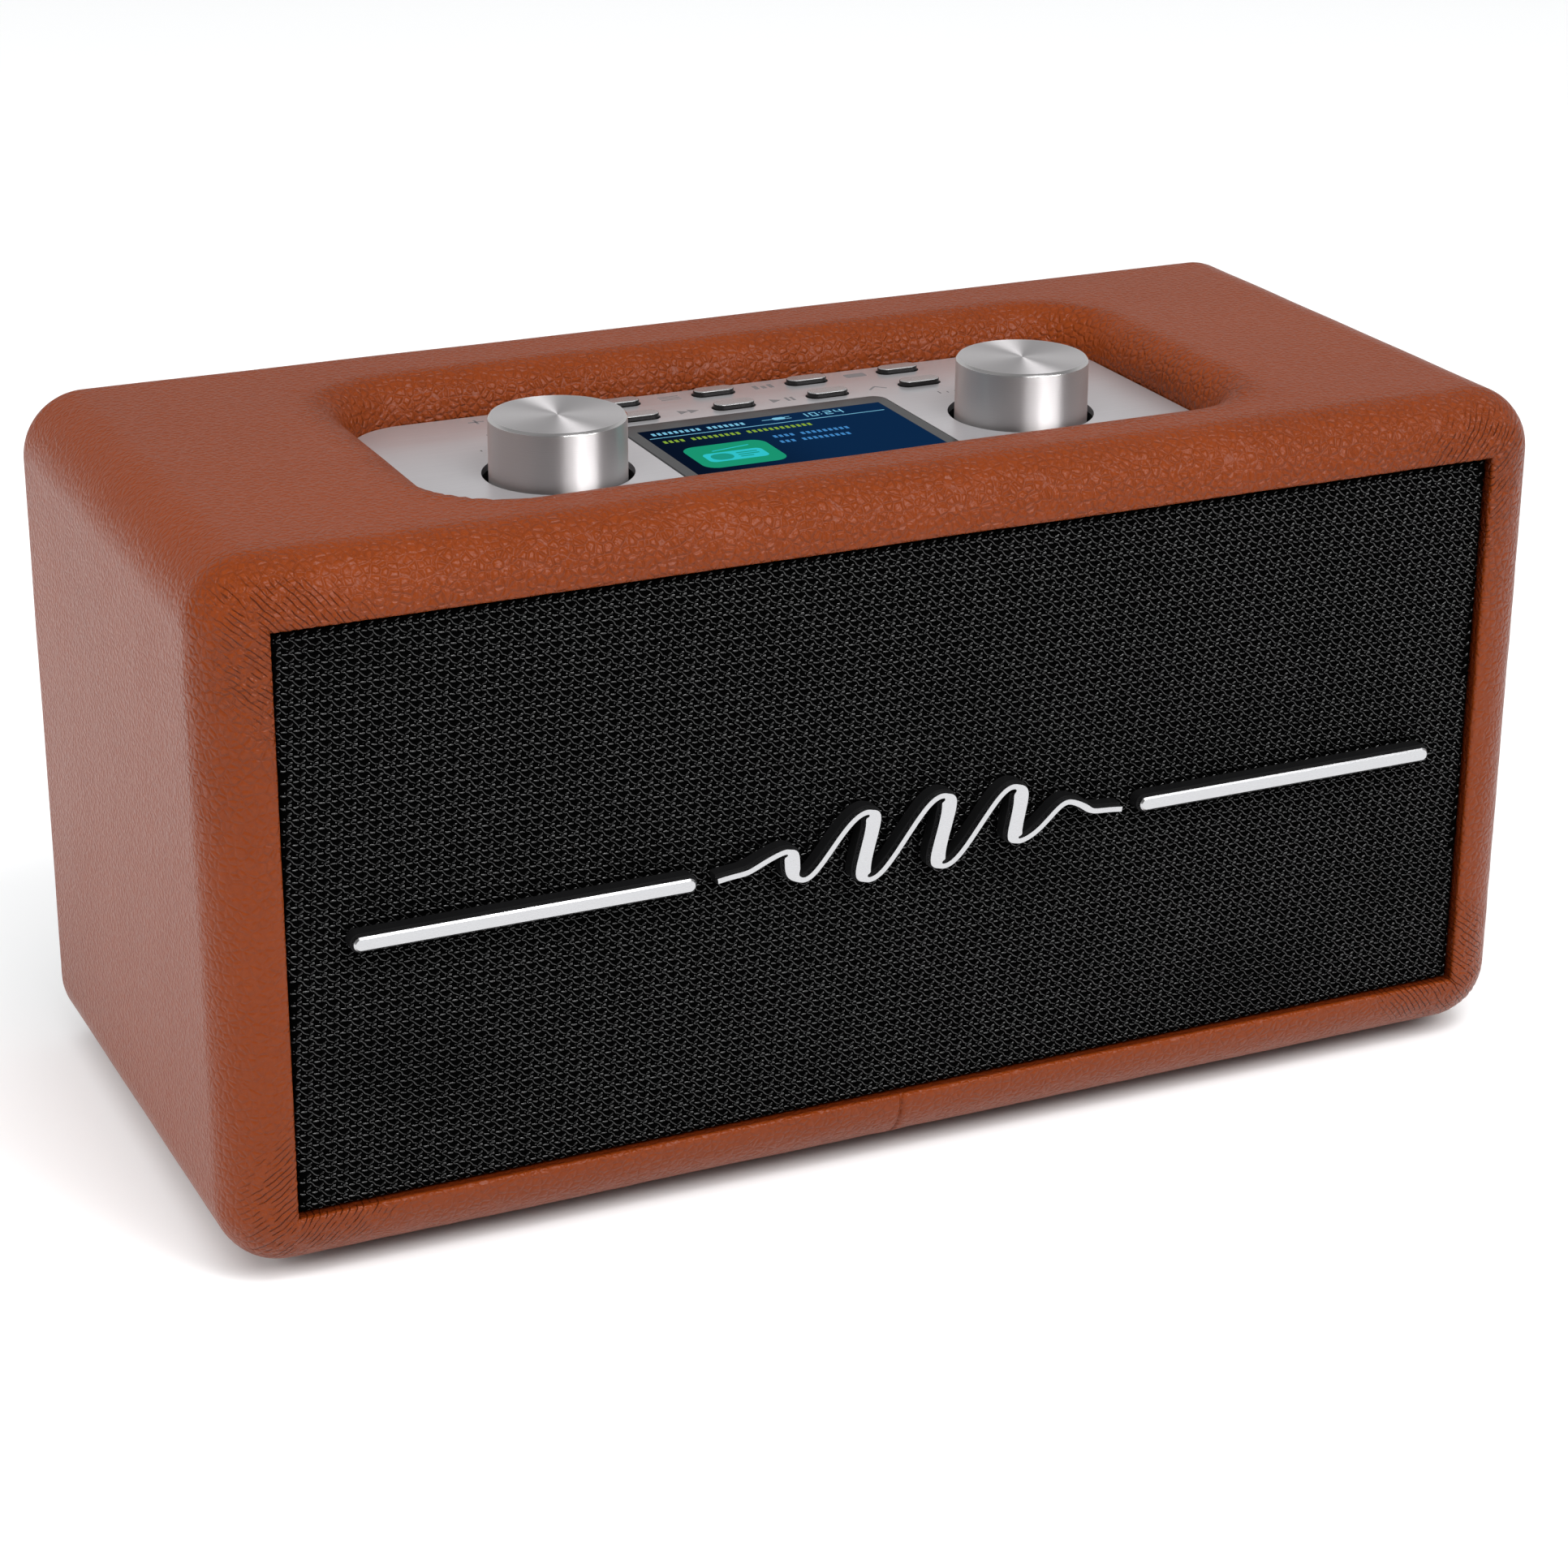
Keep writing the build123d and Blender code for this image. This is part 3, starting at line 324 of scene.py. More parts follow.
def plastic(name, colour, grain=0.35, depth=0.03, rough=(0.4, 0.52), coat=0.0, specular=0.5):
    """Moulded plastic with a fine spark-eroded texture."""
    shade = Shade(name, coat_weight=coat, coat_roughness=0.06, specular=specular)
    spark = shade.noise(grain, detail=2.0)
    shade.relief(spark, depth)
    lighter = tuple(c * 1.35 + 0.001 for c in colour)
    shade.give("base_color", shade.blend(shade.noise(22.0, detail=3.0), colour, lighter))
    shade.give("roughness", shade.step(shade.noise(6.0, detail=3.0), 0.3, 0.7, *rough))
    return shade.material


def metal(name, colour, rough=(0.2, 0.3), grain=(1.0, 1.0, 1.0), depth=0.004, size=0.5):
    """Bare or plated metal. grain stretches its fine scratches along an axis."""
    shade = Shade(name, metallic=1.0)
    lines = shade.noise(size, detail=2.0, stretch=grain)
    shade.relief(lines, depth)
    shade.give("base_color", shade.blend(lines, tuple(c * 0.9 for c in colour), colour))
    shade.give("roughness", shade.step(lines, 0.25, 0.75, *rough))
    return shade.material


def brushed_plate():
    """Aluminium brushed along its length, with a satin anodised finish."""
    shade = Shade("brushed plate", metallic=0.75)
    hair = shade.noise(0.11, detail=2.0, stretch=(160.0, 1.0, 1.0))
    broad = shade.noise(0.5, detail=2.0, stretch=(90.0, 1.0, 1.0))
    shade.relief(hair * 0.6 + broad * 0.4, 0.006)
    shade.give("base_color", shade.blend(hair, (0.60, 0.59, 0.61), (0.69, 0.68, 0.70)))
    shade.give("roughness", shade.step(broad, 0.3, 0.7, 0.28, 0.35))
    return shade.material


def turned(name, colour, rough, spread, depth):
    """Aluminium off the lathe: fine rings round the knob's own middle line, and a highlight
    stretched across them by spread."""
    shade = Shade(name, metallic=1.0, anisotropic=spread, anisotropic_rotation=0.25)
    shade.spun()
    _, _, z = shade.axes()
    generated = Wire(shade, shade.node("ShaderNodeTexCoord").outputs["Generated"])
    across, along = [part - 0.5 for part in shade.parts(generated)[:2]]
    ring = shade.math("SQRT", across * across + along * along) * KNOB_WIDTH + z
    rings = shade.node("ShaderNodeTexNoise", {"W": ring, "Scale": 7.0, "Detail": 3.0}, noise_dimensions="1D")
    line = Wire(shade, rings.outputs["Fac"])
    shade.relief(line, depth)
    shade.give("base_color", shade.blend(line, tuple(c * 0.86 for c in colour), colour))
    shade.give("roughness", shade.step(line, 0.3, 0.7, *rough))
    return shade.material


def button_metal():
    """A brushed top, with painted shade on the sides: near-black colour wherever the surface doesn't face up.
    """
    shade = Shade("button", metallic=0.75)
    normal = Wire(shade, shade.node("ShaderNodeNewGeometry").outputs["Normal"])
    up = shade.parts(normal)[2]
    # painted shade: 1 where the surface faces up, 0 on the sides, which get the near-black colour
    face = shade.step(up, 0.35, 0.8)
    hair = shade.noise(0.12, detail=2.0, stretch=(60.0, 1.0, 1.0))
    metal_tone = shade.blend(hair, (0.44, 0.43, 0.435), (0.54, 0.53, 0.535))
    # near-black painted shade on the sides, brushed metal on the top
    shade.give("base_color", shade.blend(face, (0.022, 0.021, 0.021), metal_tone))
    shade.give("roughness", shade.step(hair, 0.3, 0.7, 0.24, 0.34))
    shade.relief(hair, 0.004)
    return shade.material


def timber():
    """Plain fibreboard with a paper-brown face."""
    shade = Shade("fibreboard")
    fibres = shade.noise(0.7, detail=4.0, stretch=(3.0, 1.0, 1.0))
    shade.relief(fibres, 0.05)
    shade.give("base_color", shade.blend(fibres, (0.21, 0.13, 0.07), (0.34, 0.22, 0.13)))
    shade.give("roughness", shade.step(fibres, 0.3, 0.7, 0.7, 0.85))
    return shade.material


def pulp():
    """Grey-black loudspeaker paper with felted fibres."""
    shade = Shade("cone paper", specular=0.3)
    fibres = shade.noise(0.8, detail=4.0, distortion=1.0)
    shade.relief(fibres, 0.05)
    shade.give("base_color", shade.blend(fibres, (0.012, 0.012, 0.012), (0.04, 0.039, 0.037)))
    shade.give("roughness", shade.step(fibres, 0.3, 0.7, 0.75, 0.9))
    return shade.material


def circuit():
    """Green solder mask with a faint pattern of tracks."""
    shade = Shade("circuit board", coat_weight=0.3)
    track = shade.step(shade.cells(3.0), 0.04, 0.08)
    shade.relief(track, 0.03)
    shade.give("base_color", shade.blend(track, (0.02, 0.16, 0.06), (0.008, 0.075, 0.03)))
    shade.give("roughness", shade.step(shade.noise(2.0), 0.3, 0.7, 0.35, 0.5))
    return shade.material


def glow(name, colour, strength):
    """A lit part of the display, very slightly uneven."""
    shade = Shade(name, specular=0.0, roughness=0.6, base_color=(0.002, 0.002, 0.002))
    shade.give("emission_strength", strength)
    dimmer = tuple(c * 0.94 for c in colour)
    shade.give("emission_color", shade.blend(shade.noise(6.0), dimmer, colour))
    return shade.material


def lit_screen():
    """The display's navy ground, darker to the left."""
    shade = Shade("screen ground", specular=0.0, roughness=0.5, base_color=(0.001, 0.002, 0.004))
    across = shade.step(shade.axes()[0], WINDOW_LOW[0] + 3, 8.0)
    shade.give("emission_strength", 1.0)
    shade.give("emission_color", shade.blend(across, (0.0006, 0.003, 0.012), (0.0018, 0.017, 0.058)))
    return shade.material


LEATHER = leather()
GROUND = woven_ground()
YARN = yarn()
BLACK = plastic("black plastic", (0.012, 0.012, 0.0125))
GLOSS = plastic("gloss black", (0.006, 0.006, 0.0065), depth=0.002, rough=(0.16, 0.26), coat=0.5)
BRIGHT = metal("bright trim", (0.50, 0.50, 0.51), rough=(0.22, 0.32), grain=(18.0, 1.0, 1.0), depth=0.002)
PLATE = brushed_plate()
KNOB_SIDE = turned("knob side", (0.84, 0.81, 0.81), (0.42, 0.52), 1.0, 0.0015)
KNOB_EDGE = turned("knob edge", (0.86, 0.84, 0.84), (0.12, 0.2), 0.3, 0.001)
KNOB_TOP = turned("knob top", (0.92, 0.89, 0.90), (0.36, 0.46), 0.9, 0.003)
EMBLEM_BLACK = plastic("emblem black", (0.004, 0.004, 0.0042), depth=0.002, rough=(0.5, 0.6), specular=0.1)
BUTTON = button_metal()
WOOD = timber()
PAPER = pulp()
BOARD = circuit()
STEEL = metal("zinc plated steel", (0.55, 0.54, 0.52), rough=(0.3, 0.45), size=1.5)
CHROME = metal("chrome", (0.82, 0.82, 0.83), rough=(0.06, 0.14), depth=0.001, grain=(12.0, 1.0, 1.0))
COPPER = metal("enamelled copper", (0.72, 0.29, 0.12), rough=(0.25, 0.4), size=0.3)
RUBBER = plastic("rubber", (0.012, 0.012, 0.012), grain=0.6, depth=0.05, rough=(0.7, 0.85))
WRAP = plastic("shrink wrap", (0.02, 0.05, 0.17), grain=4.0, depth=0.2, rough=(0.25, 0.35))
GLASS = plastic("display glass", (0.010, 0.010, 0.011), depth=0.001, rough=(0.1, 0.16), specular=0.3)
INK = plastic("panel print", (0.10, 0.095, 0.098), depth=0.001, rough=(0.5, 0.6))


# ======== meshes
WAVES = 9


def piece(name, points, faces, materials, body, slot, smooth=True, picks=None):
    """Makes a mesh piece from points in millimetres and hangs it on a body."""
    mesh = bpy.data.meshes.new(name)
    mesh.from_pydata((np.asarray(points, float) * MM).tolist(), [], faces)
    for material in materials:
        mesh.materials.append(material)
    if picks is not None:
        mesh.polygons.foreach_set("material_index", picks)
    if smooth:
        mesh.polygons.foreach_set("use_smooth", [True] * len(mesh.polygons))
    made = bpy.data.objects.new(name, mesh)
    bpy.context.scene.collection.objects.link(made)
    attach(made, body)
    return made


def tidy(made, distance):
    """Joins points that fall together and makes the faces look outwards."""
    mesh = bmesh.new()
    mesh.from_mesh(made.data)
    bmesh.ops.remove_doubles(mesh, verts=mesh.verts, dist=distance * MM)
    bmesh.ops.dissolve_degenerate(mesh, edges=mesh.edges, dist=distance * MM * 0.5)
    bmesh.ops.recalc_face_normals(mesh, faces=mesh.faces)
    mesh.to_mesh(made.data)
    mesh.free()


def strip_faces(rows, columns, closed):
    """Quads between rows of equally many points."""
    last = columns if closed else columns - 1
    return [
        (r * columns + c, r * columns + (c + 1) % columns,
         (r + 1) * columns + (c + 1) % columns, (r + 1) * columns + c)
        for r in range(rows - 1)
        for c in range(last)
    ]


def ripple(points, wavelength, seed):
    """A smooth uneven field over points, about -1 to 1: the sum of a few waves."""
    draw = np.random.default_rng(seed)
    total = np.zeros(len(points))
    for _ in range(WAVES):
        way = draw.normal(size=3)
        way *= 2 * pi / wavelength * draw.uniform(0.6, 1.4) / np.linalg.norm(way)
        total += np.sin(points @ way + draw.uniform(0, 2 * pi))
    return total / WAVES * 1.6


def rise(value, low, high):
    """0 below low, 1 above high and smooth between. low may be the larger."""
    t = np.clip((value - low) / (high - low), 0, 1)
    return t * t * (3 - 2 * t)


# -------- leather covering
FOLD_REACH = 26.0  # stretch of each side, from its corner, that needs small faces for the folds
FINE = 0.5  # face size there
COARSE = 2.6  # face size elsewhere
HOLE = np.array([CORE[0] - FOLD_REACH, RECESS[1] + RIM_R + 3.1])  # half size of the top's square hole
FOLD_PITCH = 2.3
SEAM_X = -3.0
SEAM_MARKS = SEAM_X + np.array([-0.7, -0.35, -0.15, 0.0, 0.15, 0.35, 0.7])


def run_marks(length):
    """Distances along a straight run: close together near its ends."""
    fine = np.linspace(0, FOLD_REACH, round(FOLD_REACH / FINE), endpoint=False)
    far = length - FOLD_REACH
    middle = np.linspace(FOLD_REACH, far, round((far - FOLD_REACH) / COARSE), endpoint=False)
    return np.concatenate([fine, middle, length - fine[::-1]])[:-1]


def outline_marks():
    """Columns round the cabinet: core point, outward direction and opening point of each."""
    columns = []
    runs = [  # from, to, outward
        ((-CORE[0], CORE[1]), (CORE[0], CORE[1]), (0, 1)),
        ((CORE[0], CORE[1]), (CORE[0], -CORE[1]), (1, 0)),
        ((CORE[0], -CORE[1]), (-CORE[0], -CORE[1]), (0, -1)),
        ((-CORE[0], -CORE[1]), (-CORE[0], CORE[1]), (-1, 0)),
    ]
    for start, end, out in runs:
        start, end, out = np.array(start), np.array(end), np.array(out, float)
        length = np.linalg.norm(end - start)
        marks = run_marks(length)
        if out[1] < 0:
            marks = np.union1d(marks, CORE[0] - SEAM_MARKS)
        for mark in marks:
            core = start + (end - start) * mark / length
            columns.append((core, out, core * OPENING / CORE))
        turn = atan2(out[1], out[0])
        steps = round(SIDE_R * pi / 2 / FINE)
        for k in range(steps):
            angle = turn - pi / 2 * k / steps
            columns.append((end, np.array([cos(angle), sin(angle)]), np.sign(end) * OPENING))
    return [np.array(part) for part in zip(*columns)]


def covering_rows(core, out, opening):
    """The covering's section, row by row from the grille round to the back panel."""
    rows = []

    def row(flat, y):
        rows.append(np.column_stack([flat[:, 0], np.full(len(flat), y), flat[:, 1] + MID_Z]))

    def lip_and_wall(edge, y_edge, y_end, inwards):
        """From the flat border at edge over a small round and along the opening's wall."""
        reach = edge - opening
        reach /= np.linalg.norm(reach, axis=1, keepdims=True)
        made = []
        for angle in np.linspace(pi / 2, 0, 5):
            made.append((opening + reach * LIP * (1 - cos(angle)), y_edge + inwards * LIP * (1 - sin(angle))))
        for y in np.linspace(y_edge + inwards * LIP, y_end, 7)[1:]:
            made.append((opening, y))
        return made

    front_edge = core + out * (SIDE_R - FRONT_R)
    for flat, y in reversed(lip_and_wall(front_edge, FRONT, BAFFLE_FACE, 1)):
        row(flat, y)
    for angle in np.linspace(0, pi / 2, 27):
        row(core + out * (SIDE_R - FRONT_R * (1 - sin(angle))), FRONT + FRONT_R * (1 - cos(angle)))
    lines = [FRONT + FRONT_R, MID_Y - HOLE[1], MID_Y + HOLE[1], BACK - BACK_R]
    for start, end in zip(lines, lines[1:]):
        for y in np.linspace(start, end, max(1, round((end - start) / COARSE)) + 1)[1:]:
            row(core + out * SIDE_R, y)
    for angle in np.linspace(pi / 2, 0, 9)[1:]:
        row(core + out * (SIDE_R - BACK_R * (1 - sin(angle))), BACK - BACK_R * (1 - cos(angle)))
    back_edge = core + out * (SIDE_R - BACK_R)
    reach = opening + (back_edge - opening) * 0.5
    row(reach, BACK)
    for flat, y in lip_and_wall(back_edge, BACK, BACK - PANEL_SET_BACK, -1):
        row(flat, y)
    return rows


def recess_rows(border):
    """Rings from the hole in the top down its rolled rim. border holds the hole's edge points."""
    flat = border[:, :2] - [0, MID_Y]
    core = np.clip(flat, -RECESS_CORE, RECESS_CORE)
    way = flat - core
    way /= np.linalg.norm(way, axis=1, keepdims=True)
    rim = core + way * (RECESS_R + RIM_R)
    rings = []

    def ring(place, z):
        rings.append(np.column_stack([place[:, 0], place[:, 1] + MID_Y, np.full(len(place), z)]))

    ring(flat * 0.5 + rim * 0.5, TOP)
    for angle in np.linspace(0, pi / 2, 15):
        ring(core + way * (RECESS_R + RIM_R * (1 - sin(angle))), TOP - RIM_R * (1 - cos(angle)))
    for z in (PLATE_HIGH[2], PLATE_HIGH[2] - 0.6, PLATE_HIGH[2] - 1.4):
        ring(core + way * RECESS_R, z)
    return rings


def pull_lines(points):
    """Each point's distance out from the opening, and how far along the opening's edge from its
    corner the pull line through that point starts."""
    beside = np.abs(points[:, 0]) - OPENING[0]
    over = np.abs(points[:, 2] - MID_Z) - OPENING[1]
    out = np.maximum(beside, over)
    return out, out * PULL - np.minimum(beside, over)


def corner_folds(points, out, start):
    """Folds pulled towards each corner of the front opening."""
    on_roll = rise(points[:, 1], FRONT + 15, FRONT + 5)
    corner = rise(start, 25, 8) * rise(out, 13, 6) * on_roll
    swing = ripple(points, 10.0, 11) * 0.5
    fold = np.abs(np.sin(pi * (start + swing) / FOLD_PITCH))
    return 0.3 * corner * (fold - 0.6) * (0.55 + 0.45 * ripple(points, 5.0, 12))


def hollows(points):
    """Slight unevenness of the stretched sheet, finer on the front roll."""
    on_roll = rise(points[:, 1], FRONT + 15, FRONT + 5)
    return 0.09 * ripple(points, 40.0, 13) + 0.05 * on_roll * ripple(points, 9.0, 14)


def recess_puckers(points, beyond, reach):
    """Small gathers round the recess's rolled corners."""
    turn = np.arctan2(beyond[:, 1], beyond[:, 0])
    at_corner = np.sin(2 * turn) ** 2 * (reach > 1) * rise(points[:, 2], TOP - 12, TOP - 9)
    pucker = rise(reach, RECESS_R + 12, RECESS_R + 6) * at_corner
    return 0.16 * pucker * np.sin(turn * 46 + 2 * ripple(points, 9.0, 15))


def butt_seam(points):
    """The seam under the grille: a narrow groove between two slightly raised edges."""
    seam = np.abs(points[:, 0] - SEAM_X)
    low_down = points[:, 2] < MID_Z - OPENING[1] + 0.5
    under = low_down * rise(points[:, 1], MID_Y, MID_Y - 10)
    return under * (0.12 * rise(seam, 3.0, 0.8) * rise(seam, 0.3, 0.8) - 0.45 * rise(seam, 0.5, 0.05))


def covering_relief(points):
    """Height of the leather over its even form, much less on the turned-in walls."""
    y, z = points[:, 1], points[:, 2]
    out, start = pull_lines(points)
    beyond = np.maximum(np.abs(points[:, :2] - [0, MID_Y]) - RECESS_CORE, 0)
    reach = np.linalg.norm(beyond, axis=1)
    height = corner_folds(points, out, start) + hollows(points)
    height += recess_puckers(points, beyond, reach) + butt_seam(points)

    in_front_wall = (y < BAFFLE_FACE + 1) & (out < 0.05)
    in_back_wall = y > BACK - 0.1
    in_rim_wall = (z > TOP - 12) & (reach < RECESS_R + 0.4) & (z < TOP - RIM_R + 1)
    return height * np.select([in_front_wall | in_rim_wall, in_back_wall], [0.2, 0.5], 1.0)


def hole_border(rows, core, out):
    """First and last row and column of the square hole in the top, in the covering's own grid."""
    depth = np.array([row[0, 1] for row in rows])
    highest = np.array([row[:, 2].max() for row in rows])
    top_rows = np.flatnonzero((np.abs(depth - MID_Y) < HOLE[1] + 0.01) & (highest > TOP - 0.01))
    top_columns = np.flatnonzero((out[:, 1] > 0.999) & (np.abs(core[:, 0]) < HOLE[0] + 0.01))
    return top_rows[0], top_rows[-1], top_columns[0], top_columns[-1]


def bridge(loop, base):
    """Quads from a closed loop of points to as many new points that start at base."""
    count = len(loop)
    return [(loop[c], loop[(c + 1) % count], base + (c + 1) % count, base + c) for c in range(count)]


def leather_sheet():
    """Points and faces of the even covering, with its hole in the top and the recess's rim."""
    core, out, opening = outline_marks()
    rows = covering_rows(core, out, opening)
    columns = len(core)
    points = np.concatenate(rows)
    first_row, last_row, first, last = hole_border(rows, core, out)
    faces = [
        face for face in strip_faces(len(rows), columns, closed=True)
        if not (first_row <= face[0] // columns < last_row and first <= face[0] % columns < last)
    ]
    loop = [first_row * columns + c for c in range(first, last)]
    loop += [r * columns + last for r in range(first_row, last_row)]
    loop += [last_row * columns + c for c in range(last, first, -1)]
    loop += [r * columns + first for r in range(last_row, first_row, -1)]
    rings = recess_rows(points[loop])
    base = len(points)
    faces += bridge(loop, base)
    faces += [tuple(base + k for k in face) for face in strip_faces(len(rings), len(loop), closed=True)]
    return np.concatenate([points, *rings]), faces


def mesh_values(collection, key):
    """One three-number property of every item, as rows."""
    values = np.empty(len(collection) * 3)
    collection.foreach_get(key, values)
    return values.reshape(-1, 3)


def cover_with_leather():
    """One sheet round the cabinet, turned in at both openings and down into the top recess."""
    made = piece("leather_covering", *leather_sheet(), [LEATHER], "cabinet", "leather")
    tidy(made, 0.02)
    mesh = made.data
    place = mesh_values(mesh.vertices, "co") / MM
    normal = mesh_values(mesh.vertex_normals, "vector")
    if normal[np.argmax(place[:, 0]), 0] < 0:
        mesh.flip_normals()
        normal = -normal
    place += normal * covering_relief(place)[:, None]
    mesh.vertices.foreach_set("co", (place * MM).ravel())
    mesh.update()
    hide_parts("leather_wrap")


cover_with_leather()


# -------- grille cloth
WEAVE = 2.58  # one repeat of the weave, across and up
WEAVE_DRIFT = 0.06  # sideways shift of each row, in repeats

GROUND_SET_BACK = 0.32
THREAD_SPLIT = 45.0  # where the threads are parted into three pieces
CLOTH_MID = np.array([0.0, (CLOTH_LOW_Z + CLOTH_HIGH_Z) / 2])
CLOTH_HALF = np.array([CLOTH_HIGH_X, (CLOTH_HIGH_Z - CLOTH_LOW_Z) / 2])


def cloth_depth(x, z):
    """How far the cloth lies behind its front face: it rounds over the frame's edges."""
    edge = np.minimum(CLOTH_HALF[0] - np.abs(x - CLOTH_MID[0]), CLOTH_HALF[1] - np.abs(z - CLOTH_MID[1]))
    short = np.clip(1 - edge / CLOTH_EDGE_R, 0, 1)
    return CLOTH_EDGE_R * (1 - np.sqrt(1 - short * short))


def stretch_cloth():
    """The ground of the cloth, stretched over its frame and turned back round it."""
    curve = CLOTH_EDGE_R * (1 - np.cos(np.linspace(0, pi / 2, 5)))
    marks = []
    for half in CLOTH_HALF:
        inner = np.linspace(-half + CLOTH_EDGE_R, half - CLOTH_EDGE_R, round(half / 2))
        marks.append(np.concatenate([-half + curve[:-1], inner, half - curve[-2::-1]]))
    x, z = np.meshgrid(marks[0], marks[1] + CLOTH_MID[1])
    x, z = x.ravel(), z.ravel()
    slack = 0.05 * ripple(np.column_stack([x, x * 0, z]), 40.0, 21)
    fall = cloth_depth(x, z)
    points = [np.column_stack([x, CLOTH_FRONT + GROUND_SET_BACK + fall + slack * (fall == 0), z])]
    wide, high = len(marks[0]), len(marks[1])
    faces = strip_faces(high, wide, closed=False)
    loop = list(range(wide)) + [r * wide + wide - 1 for r in range(1, high)]
    loop += [(high - 1) * wide + c for c in range(wide - 2, -1, -1)]
    loop += [r * wide for r in range(high - 2, 0, -1)]
    border = points[0][loop]
    base = len(x)
    for y in np.linspace(border[0, 1], CLOTH_BACK, 4)[1:]:
        turned_back = border.copy()
        turned_back[:, 1] = y
        points.append(turned_back)
    faces += bridge(loop, base)
    faces += [tuple(base + k for k in face) for face in strip_faces(3, len(loop), closed=True)]
    made = piece("grille_ground", np.concatenate(points), faces, [GROUND], "cabinet", "cloth")
    tidy(made, 0.005)
    return made


# Each strand of one repeat: points across and up in repeats, and half width in repeats.
STRANDS = (
    (((0.37, 0.125), (0.17, 0.12), (0.04, 0.06), (0.03, -0.05), (0.18, -0.12), (0.33, -0.17),
      (0.46, -0.33), (0.58, -0.51), (0.77, -0.64), (0.99, -0.73)),
     (0.075, 0.085, 0.05, 0.042, 0.045, 0.05, 0.055, 0.058, 0.052, 0.03)),
    (((0.05, -0.67), (0.20, -0.57), (0.37, -0.50)), (0.045, 0.085, 0.06)),
    (((0.47, -0.075), (0.68, -0.10), (0.91, -0.115)), (0.05, 0.07, 0.05)),
    (((0.75, -0.85), (0.83, -0.85)), (0.05, 0.05)),
)
STRAND_HEIGHT = 1.4  # of a strand's half width
STRAND_SET_BACK = 0.28
STRAND_SINK = 0.03  # how far a strand's edges dip below its line
EDGE_OVERRUN = 0.3  # how far strands run on past the panel's flat size, round its edge


def round_the_edge(flat, half):
    """Where a point of the flat cloth comes to lie, and how far back, once it is bent round the edge."""
    angle = np.clip((np.abs(flat) - half) / CLOTH_EDGE_R + 1, 0, pi / 2)
    bent = half - CLOTH_EDGE_R * (1 - np.sin(angle))
    return np.where(angle > 0, np.sign(flat) * bent, flat), CLOTH_EDGE_R * (1 - np.cos(angle))


def strand_mesh(cells, line, widths, draw):
    """One strand of the repeat in every cell: a low ridge of two faces along the line."""
    line = np.array(line)
    widths = np.array(widths) * WEAVE
    count = len(line)
    wobble = draw.normal(scale=0.018, size=(len(cells), count, 2))
    path = (cells[:, None, :] + line[None] + wobble) * WEAVE
    along = np.gradient(path, axis=1)
    along /= np.linalg.norm(along, axis=2, keepdims=True)
    side = np.stack([-along[..., 1], along[..., 0]], axis=-1)
    thick = widths[None, :, None] * draw.uniform(0.85, 1.1, size=(len(cells), 1, 1))
    left = path + side * thick
    right = path - side * thick
    crown = np.sin(np.linspace(0.25, pi - 0.25, count))[None, :] ** 0.6 * thick[..., 0] * STRAND_HEIGHT
    points = []
    for flat, lift in ((left, -STRAND_SINK), (path, crown), (right, -STRAND_SINK)):
        x, fall_x = round_the_edge(flat[..., 0], CLOTH_HALF[0])
        z, fall_z = round_the_edge(flat[..., 1] - CLOTH_MID[1], CLOTH_HALF[1])
        y = CLOTH_FRONT + STRAND_SET_BACK + np.maximum(fall_x, fall_z) - lift
        points.append(np.stack([x, y, z + CLOTH_MID[1]], axis=-1))
    return np.stack(points, axis=2)


def lay_threads(name, x_low, x_high):
    """The raised threads over one part of the cloth."""
    draw = np.random.default_rng(31)
    rows = np.arange(np.floor(CLOTH_LOW_Z / WEAVE), np.ceil(CLOTH_HIGH_Z / WEAVE) + 1)
    columns = np.arange(np.floor(x_low / WEAVE) - 4, np.ceil(x_high / WEAVE) + 4)
    cells = np.array([(c + WEAVE_DRIFT * (r - rows[0]), r) for r in rows for c in columns])
    points, faces, base = [], [], 0
    for line, widths in STRANDS:
        flat = (cells[:, None, :] + np.array(line)[None]) * WEAVE - CLOTH_MID
        middle = flat[:, :, 0].mean(axis=1)
        past = (np.abs(flat) - CLOTH_HALF).max(axis=(1, 2))
        inside = (middle > x_low) & (middle < x_high) & (past < EDGE_OVERRUN)
        made = strand_mesh(cells, line, widths, draw)[inside]
        count = made.shape[1]
        points.append(made.reshape(-1, 3))
        quads = [
            (3 * k + s, 3 * k + s + 1, 3 * (k + 1) + s + 1, 3 * (k + 1) + s)
            for k in range(count - 1)
            for s in (0, 1)
        ]
        starts = base + 3 * count * np.arange(len(made))
        faces += (starts[:, None, None] + np.array(quads)[None]).reshape(-1, 4).tolist()
        base += made.shape[0] * count * 3
    return piece(name, np.concatenate(points), faces, [YARN], "cabinet", "cloth")


ground = stretch_cloth()
threads = [
    lay_threads("grille_threads_left", CLOTH_LOW_X, -THREAD_SPLIT),
    lay_threads("grille_threads_middle", -THREAD_SPLIT, THREAD_SPLIT),
    lay_threads("grille_threads_right", THREAD_SPLIT, CLOTH_HIGH_X),
]
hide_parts("grille_cloth")


# -------- knobs
LATHE_STEPS = 144
AXIS_R = 0.02  # radius of the pinhole that a turned piece's middle closes to
EDGE_CUT = 0.5  # bevel round a knob's top
HOLLOW_R = 11.5  # a knob's underside
HOLLOW_DEPTH = 8.0


